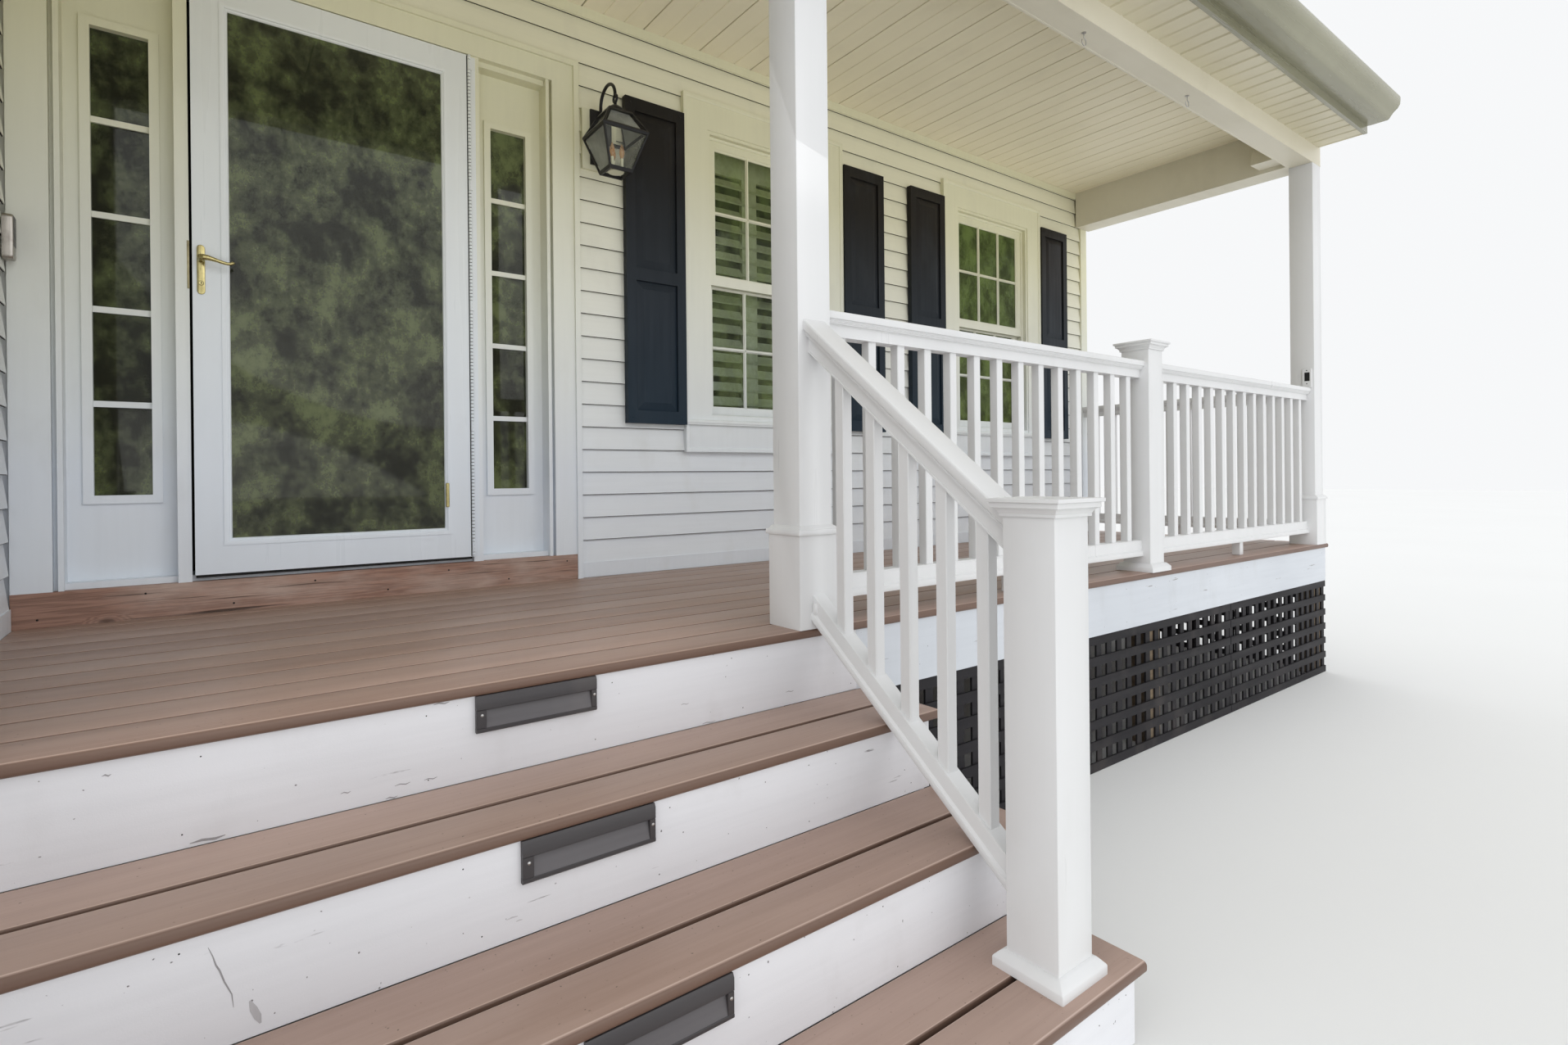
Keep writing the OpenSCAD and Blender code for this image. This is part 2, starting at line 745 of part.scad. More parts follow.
// The lantern's cage, roof, cap and ring, hung from a hooked arm on a back plate
module lantern_frame() {
    color("#111111") union() {
        translate([lantern_x - lantern_plate_side, -casing_t - 10, lantern_z - lantern_plate_down])
            cube([lantern_plate_w, 10, lantern_plate_h]);
        translate([lantern_x, lantern_y, lantern_z - lantern_h])
            cage(lantern_foot_w, lantern_w, lantern_h, lantern_bar, lantern_foot_t, lantern_eave_t);
        translate([lantern_x, lantern_y, lantern_z])
            cage(lantern_w, lantern_cap_w, lantern_roof_h, lantern_bar, 8, 12);
        translate([lantern_x, lantern_y, lantern_top - 2]) rotate_extrude()
            polygon([[0, 0], [lantern_cap_w / 2 - 8, 0], [lantern_cap_w / 2 - 12, 14], [30, 26], [16, 36],
                     [7, 40], [7, 50], [0, 50]]);
        translate([lantern_x - 4, lantern_y, lantern_top + 66]) rotate([90, 0, 90]) linear_extrude(8)
            difference() {
                circle(r = 20);
                circle(r = 12);
            }
        translate([lantern_x - 5, lantern_y + hook_r, lantern_top + 80]) rotate([90, 0, 90])
            linear_extrude(10) difference() {
                circle(r = hook_r + 5);
                circle(r = hook_r - 5);
                translate([-2 * hook_r, -2 * hook_r]) square([4 * hook_r, 2 * hook_r]);
            }
        translate([lantern_x - 5, lantern_y + 2 * hook_r - 5, lantern_top + 40]) cube([10, 10, 40]);
        translate([lantern_x - 5, lantern_y + 2 * hook_r - 5, lantern_top + 40]) cube([10, 13, 10]);
    }
}

// Panes just inside the bars, between the foot and the eave
module lantern_glass() {
    pane = 3;
    in = 2 * lantern_bar + 1;
    z0 = lantern_foot_t + seat;
    h = lantern_h - z0 - lantern_eave_t - seat;
    k = (lantern_w - lantern_foot_w) / lantern_h;
    w0 = lantern_foot_w + k * z0 - in;
    w1 = w0 + k * h;
    color("lightblue", 0.4) translate([lantern_x, lantern_y, lantern_z - lantern_h + z0]) difference() {
        frustum(w0, w1, h);
        translate([0, 0, -1]) frustum(w0 - 2 * pane - k, w1 - 2 * pane + k, h + 2);
    }
}

module doorbell() {
    color("silver") translate([wing_x, bell_y, deck_h + bell_z]) cube(bell_size);
}

// The boards run along the wall; the last one is ripped to fit the base board
module deck_boards() {
    color("#80665a") for (i = [0 : board_count - 1]) {
        y0 = -deck_depth + i * board_pitch;
        y1 = min(y0 + board_w, face_y - 2);
        if (y1 - y0 > 20) span([wing_x + 5, y0, deck_h - board_t], [deck_x1, y1, deck_h]);
    }
}

// The deck's front rim and the ledger on the house wall
module deck_frame() {
    top = deck_h - board_t;
    rim_y = skirt_y + skirt_t;
    color("burlywood") {
        span([wing_x + 6, rim_y, top - joist_h], [skirt_x1 - skirt_t, rim_y + joist_t, top]);
        span([wing_x + 6, -joist_t, top - joist_h], [skirt_x1 - skirt_t, 0, top]);
    }
}

module deck_joists() {
    top = deck_h - board_t;
    x0 = wing_x + 6;
    x1 = skirt_x1 - skirt_t - joist_t;
    count = floor((x1 - x0) / joist_pitch);
    color("burlywood") for (x = concat([for (i = [0 : count - 1]) x0 + i * joist_pitch], [x1]))
        span([x, skirt_y + skirt_t + joist_t, top - joist_h], [x + joist_t, -joist_t, top]);
}

// Square posts on the ground under the deck's front rim
module deck_posts() {
    y0 = skirt_y + skirt_t;
    z1 = deck_h - board_t - joist_h;
    color("burlywood") for (x = [left_post_x, stair_post_x, mid_newel_x, deck_x1 - deck_over])
        span([x - ground_post_w / 2, y0, 0], [x + ground_post_w / 2, y0 + ground_post_w, z1]);
}

module skirt_boards() {
    top = deck_h - board_t;
    color("white") {
        span([stair_x1 - tread_over + seat, skirt_y, top - skirt_h], [skirt_x1, skirt_y + skirt_t, top]);
        span([skirt_x1 - skirt_t, skirt_y + skirt_t + seat, top - skirt_h], [skirt_x1, 0, top]);
    }
}

// A tread of two boards with a gap
module tread(i) {
    color("#80665a") for (k = [0, 1]) {
        y = nose_y(i) + k * (board_w + tread_gap);
        span([stair_x0, y, tread_z(i) - board_t], [stair_x1, y + board_w, tread_z(i)]);
    }
}

module tread_1() { tread(1); }
module tread_2() { tread(2); }
module tread_3() { tread(3); }

module risers() {
    color("white") for (i = [0 : 3]) {
        foot = i == 3 ? 0 : tread_z(i + 1);
        span([i == 0 ? wing_x : stair_x0 + tread_over, nose_y(i) + nosing, foot],
             [stair_x1 - tread_over, nose_y(i) + nosing + riser_t, tread_z(i) - board_t]);
    }
}

// The stepped side boards that carry the treads
module stringers() {
    back = nose_y(0) + nosing + riser_t;
    x0 = stair_x0 + tread_over;
    x1 = stair_x1 - tread_over - stringer_t;
    color("white") for (x = [x0, (x0 + x1 + stringer_t) / 2, x1])
        translate([x, 0, 0]) rotate([90, 0, 90]) linear_extrude(stringer_t)
            polygon(concat(
                [[back, 0], [back, tread_z(1) - board_t]],
                [for (i = [1 : 3], k = [0, 1])
                    [nose_y(i) + nosing + riser_t, i + k > 3 ? 0 : tread_z(i + k) - board_t]]));
}

module step_lights() {
    color("#2c2c30") for (i = [0 : 2])
        span([step_light_x, nose_y(i) + nosing - step_light_d, tread_z(i) - board_t - step_light_h],
             [step_light_x + step_light_w, nose_y(i) + nosing, tread_z(i) - board_t]);
}

// A square lattice of two layers of bars inside a border, in the XZ plane
module lattice(l, h) {
    cols = floor((l - lattice_bar_w) / lattice_pitch);
    rows = floor((h - lattice_bar_w) / lattice_pitch);
    union() {
        for (i = [0 : rows])
            translate([0, 0, i * (h - lattice_bar_w) / rows]) cube([l, lattice_t, lattice_bar_w]);
        for (i = [0 : cols])
            translate([i * (l - lattice_bar_w) / cols, lattice_t, 0]) cube([lattice_bar_w, lattice_t, h]);
    }
}

lattice_h = deck_h - board_t - skirt_h;
lattice_y = skirt_y + 2;

module lattice_left() {
    x0 = stair_x1 - tread_over;
    color("#2a2a2a") translate([x0, lattice_y, 0]) lattice(lattice_joint_x - x0 - 3, lattice_h);
}

module lattice_right() {
    color("#2a2a2a") translate([lattice_joint_x + 3, lattice_y, 0])
        lattice(skirt_x1 - lattice_joint_x - 3, lattice_h);
}

module lattice_side() {
    color("#2a2a2a") translate([skirt_x1 - 2, lattice_y + 2 * lattice_t + 2, 0]) rotate([0, 0, 90])
        lattice(-lattice_y - 2 * lattice_t - 14, lattice_h);
}

// A porch post with the box around its foot and its moulded collar
module porch_post(x) {
    translate([x, -post_y, deck_h]) union() {
        translate([-post_w / 2, -post_w / 2, 0]) cube([post_w, post_w, beam_foot]);
        translate([-post_box_w / 2, -post_box_w / 2, 0]) cube([post_box_w, post_box_w, post_box_h]);
        translate([-post_box_w / 2 - collar_out, -post_box_w / 2 - collar_out, post_box_h])
            cube([post_box_w + 2 * collar_out, post_box_w + 2 * collar_out, collar_h]);
        translate([0, 0, post_box_h + collar_h]) frustum(post_box_w, post_w, 12);
    }
}

module porch_posts() {
    color("white") for (x = [left_post_x, stair_post_x, end_post_x]) porch_post(x);
}

// A newel with a skirt around its foot, and a flat cap over a cove
module newel(h) {
    skirt = newel_w + 2 * newel_skirt_out;
    step_w = newel_cap_w - 12;
    module slab(w, z, t) {
        translate([-w / 2, -w / 2, z]) cube([w, w, t]);
    }
    union() {
        slab(newel_w, 0, h - newel_cap_h);
        slab(skirt, 0, 20);
        translate([0, 0, 20]) frustum(skirt, newel_w + 16, 14);
        slab(newel_w + 12, h - newel_cap_h, 7 + eps);
        translate([0, 0, h - newel_cap_h + 7]) frustum(newel_w + 14, step_w - 12, 12);
        slab(step_w, h - newel_cap_h + 19, 11 + eps);
        slab(newel_cap_w, h - 9, 9);
    }
}

stair_low_t = 73;
rail_bead_w = 66;
rail_bead_t = 13;
rail_web_w = 44;
low_rail_w = 48;
low_lip_w = 64;
newel_y = nose_y(3) + 30 + newel_w / 2 + newel_skirt_out;

module newels() {
    color("white") {
        for (x = [left_post_x, stair_post_x]) translate([x, newel_y, tread_z(3)]) newel(newel_h);
        translate([mid_newel_x, -post_y, deck_h]) newel(rail_h + newel_over);
    }
}

// A level railing along X, from 0 to l, centred on Y = 0, with its foot block.
// Its bottom rail stops short by a and b at its two ends.
module level_rail(l, a, b) {
    n = round((l - 2 * baluster_end) / baluster_pitch) + 1;
    pitch = (l - 2 * baluster_end) / (n - 1);
    under = rail_h - rail_t;
    union() {
        translate([0, -rail_w / 2, rail_h - rail_slab_t]) cube([l, rail_w, rail_slab_t]);
        translate([0, -rail_bead_w / 2, rail_h - rail_slab_t - rail_bead_t])
            cube([l, rail_bead_w, rail_bead_t + eps]);
        translate([0, -rail_web_w / 2, under]) cube([l, rail_web_w, rail_t - rail_slab_t]);
        translate([a, -low_rail_w / 2, rail_foot + eps]) cube([l - a - b, low_rail_w, low_rail_h - eps]);
        translate([a, -low_lip_w / 2, rail_foot]) cube([l - a - b, low_lip_w, low_lip_h]);
        for (i = [0 : n - 1])
            translate([baluster_end + i * pitch - baluster_w / 2, -baluster_w / 2,
                       rail_foot + low_rail_h - eps])
                cube([baluster_w, baluster_w, under - rail_foot - low_rail_h + 2 * eps]);
        translate([(l - foot_block_w) / 2, -foot_block_w / 2, 0])
            cube([foot_block_w, foot_block_w, rail_foot + eps]);
    }
}

box_step = (post_box_w - post_w) / 2;

module deck_rail_left() {
    x0 = stair_post_x + post_w / 2;
    color("white") translate([x0, -post_y, deck_h]) level_rail(mid_newel_x - newel_w / 2 - x0, box_step, 0);
}

module deck_rail_right() {
    x0 = mid_newel_x + newel_w / 2;
    color("white") translate([x0, -post_y, deck_h]) level_rail(end_post_x - post_w / 2 - x0, 0, box_step);
}

module end_rail() {
    y0 = -post_y + post_w / 2;
    color("white") translate([end_post_x, y0, deck_h]) rotate([0, 0, 90])
        level_rail(-y0 + face_y - trim_step - seat, box_step, 0);
}

// A railing that follows the stairs. Each bar is a sheared level one,
// given by its drop below its rail's top line, its height and its width.
module stair_rail(x) {
    y0 = -post_y - post_w / 2;
    y1 = newel_y + newel_w / 2;
    l = y0 - y1;
    tall = sqrt(1 + pow(rise / run + stair_rail_fall / l, 2));
    top = deck_h + stair_rail_h;
    low = deck_h + stair_low_h;
    cap_foot = tread_z(3) + newel_h - newel_cap_h - seat;
    function top_line(y) = top - (y0 - y) * (rise / run + stair_rail_fall / l);
    function low_line(y) = low - (y0 - y) * (rise / run + stair_low_fall / l);
    module bar(z0, z1, w, h, short) {
        translate([-w / 2, 0, 0]) rotate([90, 0, 90]) linear_extrude(w)
            polygon([[y0 - short, z0], [y1, z1], [y1, z1 - h], [y0 - short, z0 - h]]);
    }
    module top_bar(drop, h, w) {
        bar(top - drop, top_line(y1) - drop, w, h, 0);
    }
    module low_bar(drop, h, w) {
        bar(low_line(y0 - box_step) - drop, low_line(y1) - drop, w, h, box_step);
    }
    translate([x, 0, 0]) difference() {
        union() {
            top_bar(0, rail_slab_t * tall, rail_w);
            top_bar(rail_slab_t * tall - eps, rail_bead_t * tall, rail_bead_w);
            top_bar(rail_slab_t * tall - eps, (rail_t - rail_slab_t) * tall, rail_web_w);
            low_bar(0, stair_low_t - eps, low_rail_w);
            low_bar(stair_low_t - low_lip_h * tall, low_lip_h * tall, low_lip_w);
            for (i = [0 : stair_balusters - 1]) {
                y = (y0 + y1) / 2 - 16 + ((stair_balusters - 1) / 2 - i) * stair_baluster_pitch;
                span([-baluster_w / 2, y - baluster_w / 2, low_line(y) - stair_low_t / 2],
                     [baluster_w / 2, y + baluster_w / 2, top_line(y) - (rail_t - 16) * tall]);
            }
        }
        span([-newel_cap_w / 2, y1 - 1, cap_foot],
             [newel_cap_w / 2, newel_y + newel_cap_w / 2 + seat, cap_foot + 100]);
    }
}

module stair_rails() {
    color("white") for (x = [left_post_x, stair_post_x]) stair_rail(x);
}

module front_beam() {
    z0 = deck_h + beam_foot;
    color("ivory") span([roof_x0, -post_y - beam_w / 2, z0], [porch_x1, wing_y, z0 + beam_h]);
}

module end_beam() {
    z0 = deck_h + beam_foot;
    color("ivory") span([end_beam_x0, wing_y, z0], [porch_x1, face_y - trim_step - seat, z0 + beam_h]);
}

module ceiling() {
    color("ivory") span([wing_x + 4, wing_y, deck_h + ceiling_h],
                        [end_beam_x0, 0, deck_h + ceiling_h + ceiling_t]);
}

module soffit() {
    color("ivory") span([roof_x0, roof_y, deck_h + soffit_h],
                        [corner_x, -post_y - beam_w / 2, deck_h + soffit_h + ceiling_t]);
}

module fascia() {
    color("ivory") span([roof_x0, roof_y - fascia_t, deck_h + soffit_h - 2], [corner_x, roof_y, eave_z]);
}

module gutter() {
    z = deck_h + soffit_h + gutter_foot;
    color("ivory") translate([roof_x0, roof_y - fascia_t, z]) rotate([90, 0, 90])
        linear_extrude(corner_x - roof_x0)
            polygon([[0, 0], [-gutter_w + 45, 0], [-gutter_w, gutter_h * 0.5], [-gutter_w, gutter_h],
                     [-gutter_w + 4, gutter_h], [-gutter_w + 4, gutter_h * 0.5 + 2],
                     [-gutter_w + 47, 3], [-3, 3], [-3, gutter_h], [0, gutter_h]]);
}

module roof() {
    y0 = roof_y - roof_lip;
    color("#6b6760") translate([roof_x0 - 12, 0, 0]) rotate([90, 0, 90])
        linear_extrude(corner_x - roof_x0 + 24)
            polygon([[y0, roof_z(y0)], [0, roof_z(0)], [0, roof_z(0) + roof_t], [y0, roof_z(y0) + roof_t]]);
}

// The boards that close the ends of the roof, over the beams and the soffit
module roof_ends() {
    y0 = -post_y - beam_w / 2;
    z0 = deck_h + soffit_h + ceiling_t;
    z1 = deck_h + beam_foot + beam_h;
    color("ivory") {
        translate([corner_x - fascia_t, 0, 0]) rotate([90, 0, 90]) linear_extrude(fascia_t)
            polygon([[roof_y, z0], [y0, z0], [y0, z1], [0, z1], [0, roof_z(0)], [roof_y, roof_z(roof_y)]]);
        translate([roof_x0, 0, 0]) rotate([90, 0, 90]) linear_extrude(fascia_t)
            polygon([[roof_y, z0], [y0, z0], [y0, z1], [wing_y, z1], [wing_y, roof_z(wing_y)],
                     [roof_y, roof_z(roof_y)]]);
    }
}

foundation_wall();
wing_foundation();
floor_band();
wall_piers();
wall_infills();
wing_wall();
front_siding();
wing_siding();
wall_trim();
corner_return();
entry_casing();
entry_frame();
sidelight_left();
sidelight_right();
sidelight_glass();
sill_board();
door_hinge();
storm_door();
storm_glass();
door_plate();
door_lever();
window_frames();
upper_sashes();
lower_sashes();
window_glass();
inner_shutters();
shutters_window_1();
shutters_window_2();
lantern_block();
lantern_frame();
lantern_glass();
doorbell();
deck_boards();
deck_frame();
deck_joists();
deck_posts();
skirt_boards();
tread_1();
tread_2();
tread_3();
risers();
stringers();
step_lights();
lattice_left();
lattice_right();
lattice_side();
porch_posts();
newels();
deck_rail_left();
deck_rail_right();
end_rail();
stair_rails();
front_beam();
end_beam();
ceiling();
soffit();
fascia();
gutter();
roof();
roof_ends();
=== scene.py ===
import math

import bpy
import mathutils
import numpy as np
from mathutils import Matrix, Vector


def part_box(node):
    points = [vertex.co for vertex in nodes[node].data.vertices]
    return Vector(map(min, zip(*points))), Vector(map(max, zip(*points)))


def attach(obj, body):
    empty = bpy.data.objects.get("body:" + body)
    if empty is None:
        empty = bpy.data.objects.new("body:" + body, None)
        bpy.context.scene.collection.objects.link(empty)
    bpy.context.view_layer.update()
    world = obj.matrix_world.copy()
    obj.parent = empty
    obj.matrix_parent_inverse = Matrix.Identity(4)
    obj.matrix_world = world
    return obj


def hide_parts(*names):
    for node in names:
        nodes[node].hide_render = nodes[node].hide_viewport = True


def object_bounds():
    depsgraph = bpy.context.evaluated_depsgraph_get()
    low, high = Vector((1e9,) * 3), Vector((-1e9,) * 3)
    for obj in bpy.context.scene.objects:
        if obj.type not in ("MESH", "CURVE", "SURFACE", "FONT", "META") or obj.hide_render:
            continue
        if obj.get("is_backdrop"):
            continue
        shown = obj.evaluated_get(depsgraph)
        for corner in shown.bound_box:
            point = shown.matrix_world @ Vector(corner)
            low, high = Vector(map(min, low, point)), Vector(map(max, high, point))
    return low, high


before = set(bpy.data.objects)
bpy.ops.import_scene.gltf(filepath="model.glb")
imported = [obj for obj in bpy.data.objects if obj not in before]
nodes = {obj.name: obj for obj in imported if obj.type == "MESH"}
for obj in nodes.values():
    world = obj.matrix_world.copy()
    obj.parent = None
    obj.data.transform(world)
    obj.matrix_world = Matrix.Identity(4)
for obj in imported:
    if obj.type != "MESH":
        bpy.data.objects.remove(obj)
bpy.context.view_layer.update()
rng = np.random.default_rng(11)
mm = 0.001
print("stage: frame loaded,", len(nodes), "nodes")


# shapes that several pieces share
axisOrder = {"x": (1, 2, 0), "y": (2, 0, 1), "z": (0, 1, 2)}  # two axes across, then the one along


# prism: point(i, end) = outline[i] across, start or end along the axis, and z + slope * distance
def prism(outline, start, end, axis="x", slope=0.0):
    u, v, w = axisOrder[axis]
    flat = np.asarray(outline, float)
    if axis == "y":
        flat = flat[:, ::-1]
    following = np.roll(flat, -1, axis=0)
    if np.sum(flat[:, 0] * following[:, 1] - following[:, 0] * flat[:, 1]) < 0:
        flat = flat[::-1]
    count = len(flat)
    verts = np.zeros((2 * count, 3))
    verts[:, u] = np.tile(flat[:, 0], 2)
    verts[:, v] = np.tile(flat[:, 1], 2)
    verts[:count, w] = min(start, end)
    verts[count:, w] = max(start, end)
    verts[:, 2] += slope * (verts[:, w] - start)
    i = np.arange(count)
    j = (i + 1) % count
    sides = np.stack([i, j, j + count, i + count], 1).tolist()
    return verts, sides + [i[::-1].tolist(), (i + count).tolist()]


# rounded outline: a quarter circle of radius r at each corner of the rectangle x0 to x1, y0 to y1
def roundedOutline(x0, x1, y0, y1, r, steps=3):
    turn = np.linspace(0, math.pi / 2, steps + 1)
    quarter = np.arange(4)[:, None] * math.pi / 2 + turn[None, :]
    signs = np.array([[1, 1], [-1, 1], [-1, -1], [1, -1]])
    r = np.broadcast_to(np.asarray(r, float), 4)[:, None]
    half = np.array([(x1 - x0) / 2, (y1 - y0) / 2])
    centre = np.array([(x0 + x1) / 2, (y0 + y1) / 2])
    px = centre[0] + signs[:, :1] * (half[0] - r) + r * np.cos(quarter)
    py = centre[1] + signs[:, 1:] * (half[1] - r) + r * np.sin(quarter)
    return np.stack([px.ravel(), py.ravel()], 1)


corners = np.array([[a, b, c] for a in (0, 1) for b in (0, 1) for c in (0, 1)])  # of a unit box


# the chamfered box's 6 sides, 12 edge strips and 8 corner triangles, all wound outwards
def chamferTemplate():
    shift = (1 - 2 * corners)[:, None, :] * (1 - np.eye(3))[None] * 0.1
    points = (corners[:, None, :] + shift).reshape(-1, 3) - 0.5
    faces = []
    for a in range(3):
        b, c = (a + 1) % 3, (a + 2) % 3
        for s in (0, 1):
            ring = [(s, 0, 0), (s, 1, 0), (s, 1, 1), (s, 0, 1)]
            faces.append([cornerIndex(a, b, c, r) * 3 + a for r in ring])
        for sb in (0, 1):
            for sc in (0, 1):
                p, q = cornerIndex(a, b, c, (0, sb, sc)), cornerIndex(a, b, c, (1, sb, sc))
                faces.append([p * 3 + b, q * 3 + b, q * 3 + c, p * 3 + c])
    faces += [[k * 3, k * 3 + 1, k * 3 + 2] for k in range(8)]
    wound = []
    for f in faces:
        a, b, c = points[f[0]], points[f[1]], points[f[2]]
        outward = np.dot(np.cross(b - a, c - a), points[f].mean(0)) > 0
        wound.append(f if outward else f[::-1])
    return wound


# corner number: four, two and one times the side, 0 or 1, that it has on x, y and z
def cornerIndex(a, b, c, sides):
    place = {a: sides[0], b: sides[1], c: sides[2]}
    return place[0] * 4 + place[1] * 2 + place[2]


boxFaces = chamferTemplate()


# chamfered boxes: corner point moved in by the cut along the two axes that its side doesn't face
def chamferBoxes(lows, highs, cut):
    lows = np.atleast_2d(np.asarray(lows, float))
    highs = np.atleast_2d(np.asarray(highs, float))
    corner = lows[:, None, :] + corners[None] * (highs - lows)[:, None, :]
    shift = (1 - 2 * corners)[:, None, :] * (1 - np.eye(3))[None] * cut
    verts = (corner[:, :, None, :] + shift[None]).reshape(-1, 3)
    faces = [[i + 24 * k for i in f] for k in range(len(lows)) for f in boxFaces]
    return verts, faces


# square loft: ring k is a rounded square of half width halves[k] at heights[k]
def squareLoft(x, y, halves, heights, corner=0.003, steps=2):
    rings = [np.column_stack([roundedOutline(x - h, x + h, y - h, y + h, corner, steps),
                              np.full(4 * (steps + 1), z)]) for h, z in zip(halves, heights)]
    return closedRings(np.array(rings))


# rings joined by quads, with a flat face at each end
def closedRings(rings):
    many, count = rings.shape[:2]
    i = np.arange(count)
    j = (i + 1) % count
    base = np.arange(many - 1)[:, None] * count
    quads = np.stack([base + i, base + j, base + j + count, base + i + count], 2).reshape(-1, 4)
    last = (many - 1) * count
    return rings.reshape(-1, 3), quads.tolist() + [i[::-1].tolist(), (i + last).tolist()]


# lathe: point = centre + radius * (cos, sin) across the axis, and height along it
def lathe(profile, centre, axis="z", sides=24):
    u, v, w = axisOrder[axis]
    profile = np.asarray(profile, float)
    if profile[-1, 1] < profile[0, 1]:
        profile = profile[::-1]
    turn = np.arange(sides) * 2 * math.pi / sides
    rings = np.zeros((len(profile), sides, 3))
    rings[:, :, u] = profile[:, :1] * np.cos(turn)
    rings[:, :, v] = profile[:, :1] * np.sin(turn)
    rings[:, :, w] = profile[:, 1:]
    return closedRings(rings + np.asarray(centre, float))


# tube: circle of the given radius in the plane across the path, at each of its points
def tube(path, radius, sides=10):
    path = np.asarray(path, float)
    ahead = np.gradient(path, axis=0)
    ahead /= np.linalg.norm(ahead, axis=1)[:, None]
    side = np.cross(ahead, [0.31, 0.17, 0.93])
    side /= np.linalg.norm(side, axis=1)[:, None]
    other = np.cross(ahead, side)
    turn = (np.arange(sides) * 2 * math.pi / sides)[None, :, None]
    radius = np.broadcast_to(np.asarray(radius, float), len(path))[:, None, None]
    ring = np.cos(turn) * side[:, None, :] + np.sin(turn) * other[:, None, :]
    return closedRings(path[:, None, :] + radius * ring)


# domes: a ring of eight points round each centre, a raised middle and a flat back
def domes(centres, facing, radius, rise):
    centres = np.atleast_2d(np.asarray(centres, float))
    u, v, w = axisOrder[facing[1]]
    away = -1.0 if facing[0] == "-" else 1.0
    turn = np.arange(8) * math.pi / 4 * away
    shape = np.zeros((17, 3))
    shape[:8, u], shape[:8, v] = radius * np.cos(turn), radius * np.sin(turn)
    shape[8:16] = shape[:8] * 0.7
    shape[8:, w] = away * rise * 0.8
    shape[16, w] = away * rise
    verts = (centres[:, None, :] + shape[None]).reshape(-1, 3)
    i = np.arange(8)
    j = (i + 1) % 8
    rim = np.stack([i, j, j + 8, i + 8], 1).tolist()
    crown = np.stack([i + 8, j + 8, np.full(8, 16)], 1).tolist()
    back = [i[::-1].tolist()]
    faces = [[n + 17 * k for n in f] for k in range(len(centres)) for f in rim + crown + back]
    return verts, faces


# one object from many parts; each part may carry its own tone number
def place(name, parts, material, slot, body="root", standsFor=(), smooth=40, tones=None):
    verts, faces, start, tone = [], [], 0, []
    for k, (v, f) in enumerate(parts):
        verts.append(v)
        faces += [[n + start for n in face] for face in f] if start else f
        start += len(v)
        tone += [tones[k] if tones is not None else 0.5] * len(f)
    mesh = bpy.data.meshes.new(name)
    mesh.from_pydata(np.vstack(verts).tolist(), [], faces)
    mesh.attributes.new("tone", "FLOAT", "FACE").data.foreach_set("value", np.array(tone, np.float32))
    if smooth:
        mesh.shade_smooth()
        mesh.set_sharp_from_angle(angle=math.radians(smooth))
    mesh.materials.append(material)
    mesh.validate()
    piece = bpy.data.objects.new(name, mesh)
    bpy.context.scene.collection.objects.link(piece)
    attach(piece, body)
    if standsFor:
        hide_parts(*standsFor)
    return piece


# one shader node: a socket of another node is linked, any other value is set
def node(tree, kind, sockets=None, **settings):
    made = tree.nodes.new("ShaderNode" + kind)
    for key, value in settings.items():
        setattr(made, key, value)
    for key, value in (sockets or {}).items():
        if isinstance(value, bpy.types.NodeSocket):
            tree.links.new(value, made.inputs[key])
        else:
            made.inputs[key].default_value = value
    return made


# new material: its shader's colour, roughness and gloss, and coordinates in metres
def freshMaterial(name, colour, roughness, shine=0.5):
    material = bpy.data.materials.new(name)
    material.use_nodes = True
    tree = material.node_tree
    shader = tree.nodes["Principled BSDF"]
    shader.inputs["Base Color"].default_value = (*colour, 1)
    shader.inputs["Roughness"].default_value = roughness
    shader.inputs["Specular IOR Level"].default_value = shine
    coords = node(tree, "TexCoord").outputs["Object"]
    return material, tree, shader, coords


# noise in metres, stretched along an axis by a small scale there
def noise(tree, coords, scale, stretch=(1, 1, 1), detail=3.0, shift=(0, 0, 0), rough=0.55):
    spot = node(tree, "Mapping", {"Vector": coords, "Scale": stretch, "Location": shift})
    made = node(tree, "TexNoise", {"Vector": spot.outputs[0], "Scale": scale, "Detail": detail,
                                   "Roughness": rough})
    return made.outputs["Fac"]


# a value between low and high carried over to the span from toLow to toHigh, held at both ends
def spread(tree, value, low, high, toLow=0.0, toHigh=1.0):
    return node(tree, "MapRange", {"Value": value, "From Min": low, "From Max": high,
                                   "To Min": toLow, "To Max": toHigh}).outputs[0]


# colour = first * (1 - amount) + second * amount, or the blend that mode names
def mixed(tree, amount, first, second, mode="MIX"):
    made = node(tree, "Mix", data_type="RGBA", blend_type=mode)
    for key, value in ((0, amount), (6, first), (7, second)):
        if isinstance(value, bpy.types.NodeSocket):
            tree.links.new(value, made.inputs[key])
        else:
            made.inputs[key].default_value = value if key == 0 else (*value, 1)
    return made.outputs[2]


# one step of arithmetic on two values
def figure(tree, kind, first, second=0.0):
    made = node(tree, "Math", operation=kind)
    for key, value in enumerate((first, second)):
        if isinstance(value, bpy.types.NodeSocket):
            tree.links.new(value, made.inputs[key])
        else:
            made.inputs[key].default_value = value
    return made.outputs[0]


# bump: the slope of the height tilts the surface's normal; distance is the relief in metres
def raised(tree, shader, height, strength, distance):
    bump = node(tree, "Bump", {"Height": height, "Strength": strength, "Distance": distance})
    tree.links.new(bump.outputs[0], shader.inputs["Normal"])


# results linked to the shader's colour and roughness
def connect(tree, shader, **sockets):
    names = {"colour": "Base Color", "rough": "Roughness"}
    for key, value in sockets.items():
        tree.links.new(value, shader.inputs[names[key]])


# each channel times the same factor
def darker(colour, by):
    return tuple(c * by for c in colour)


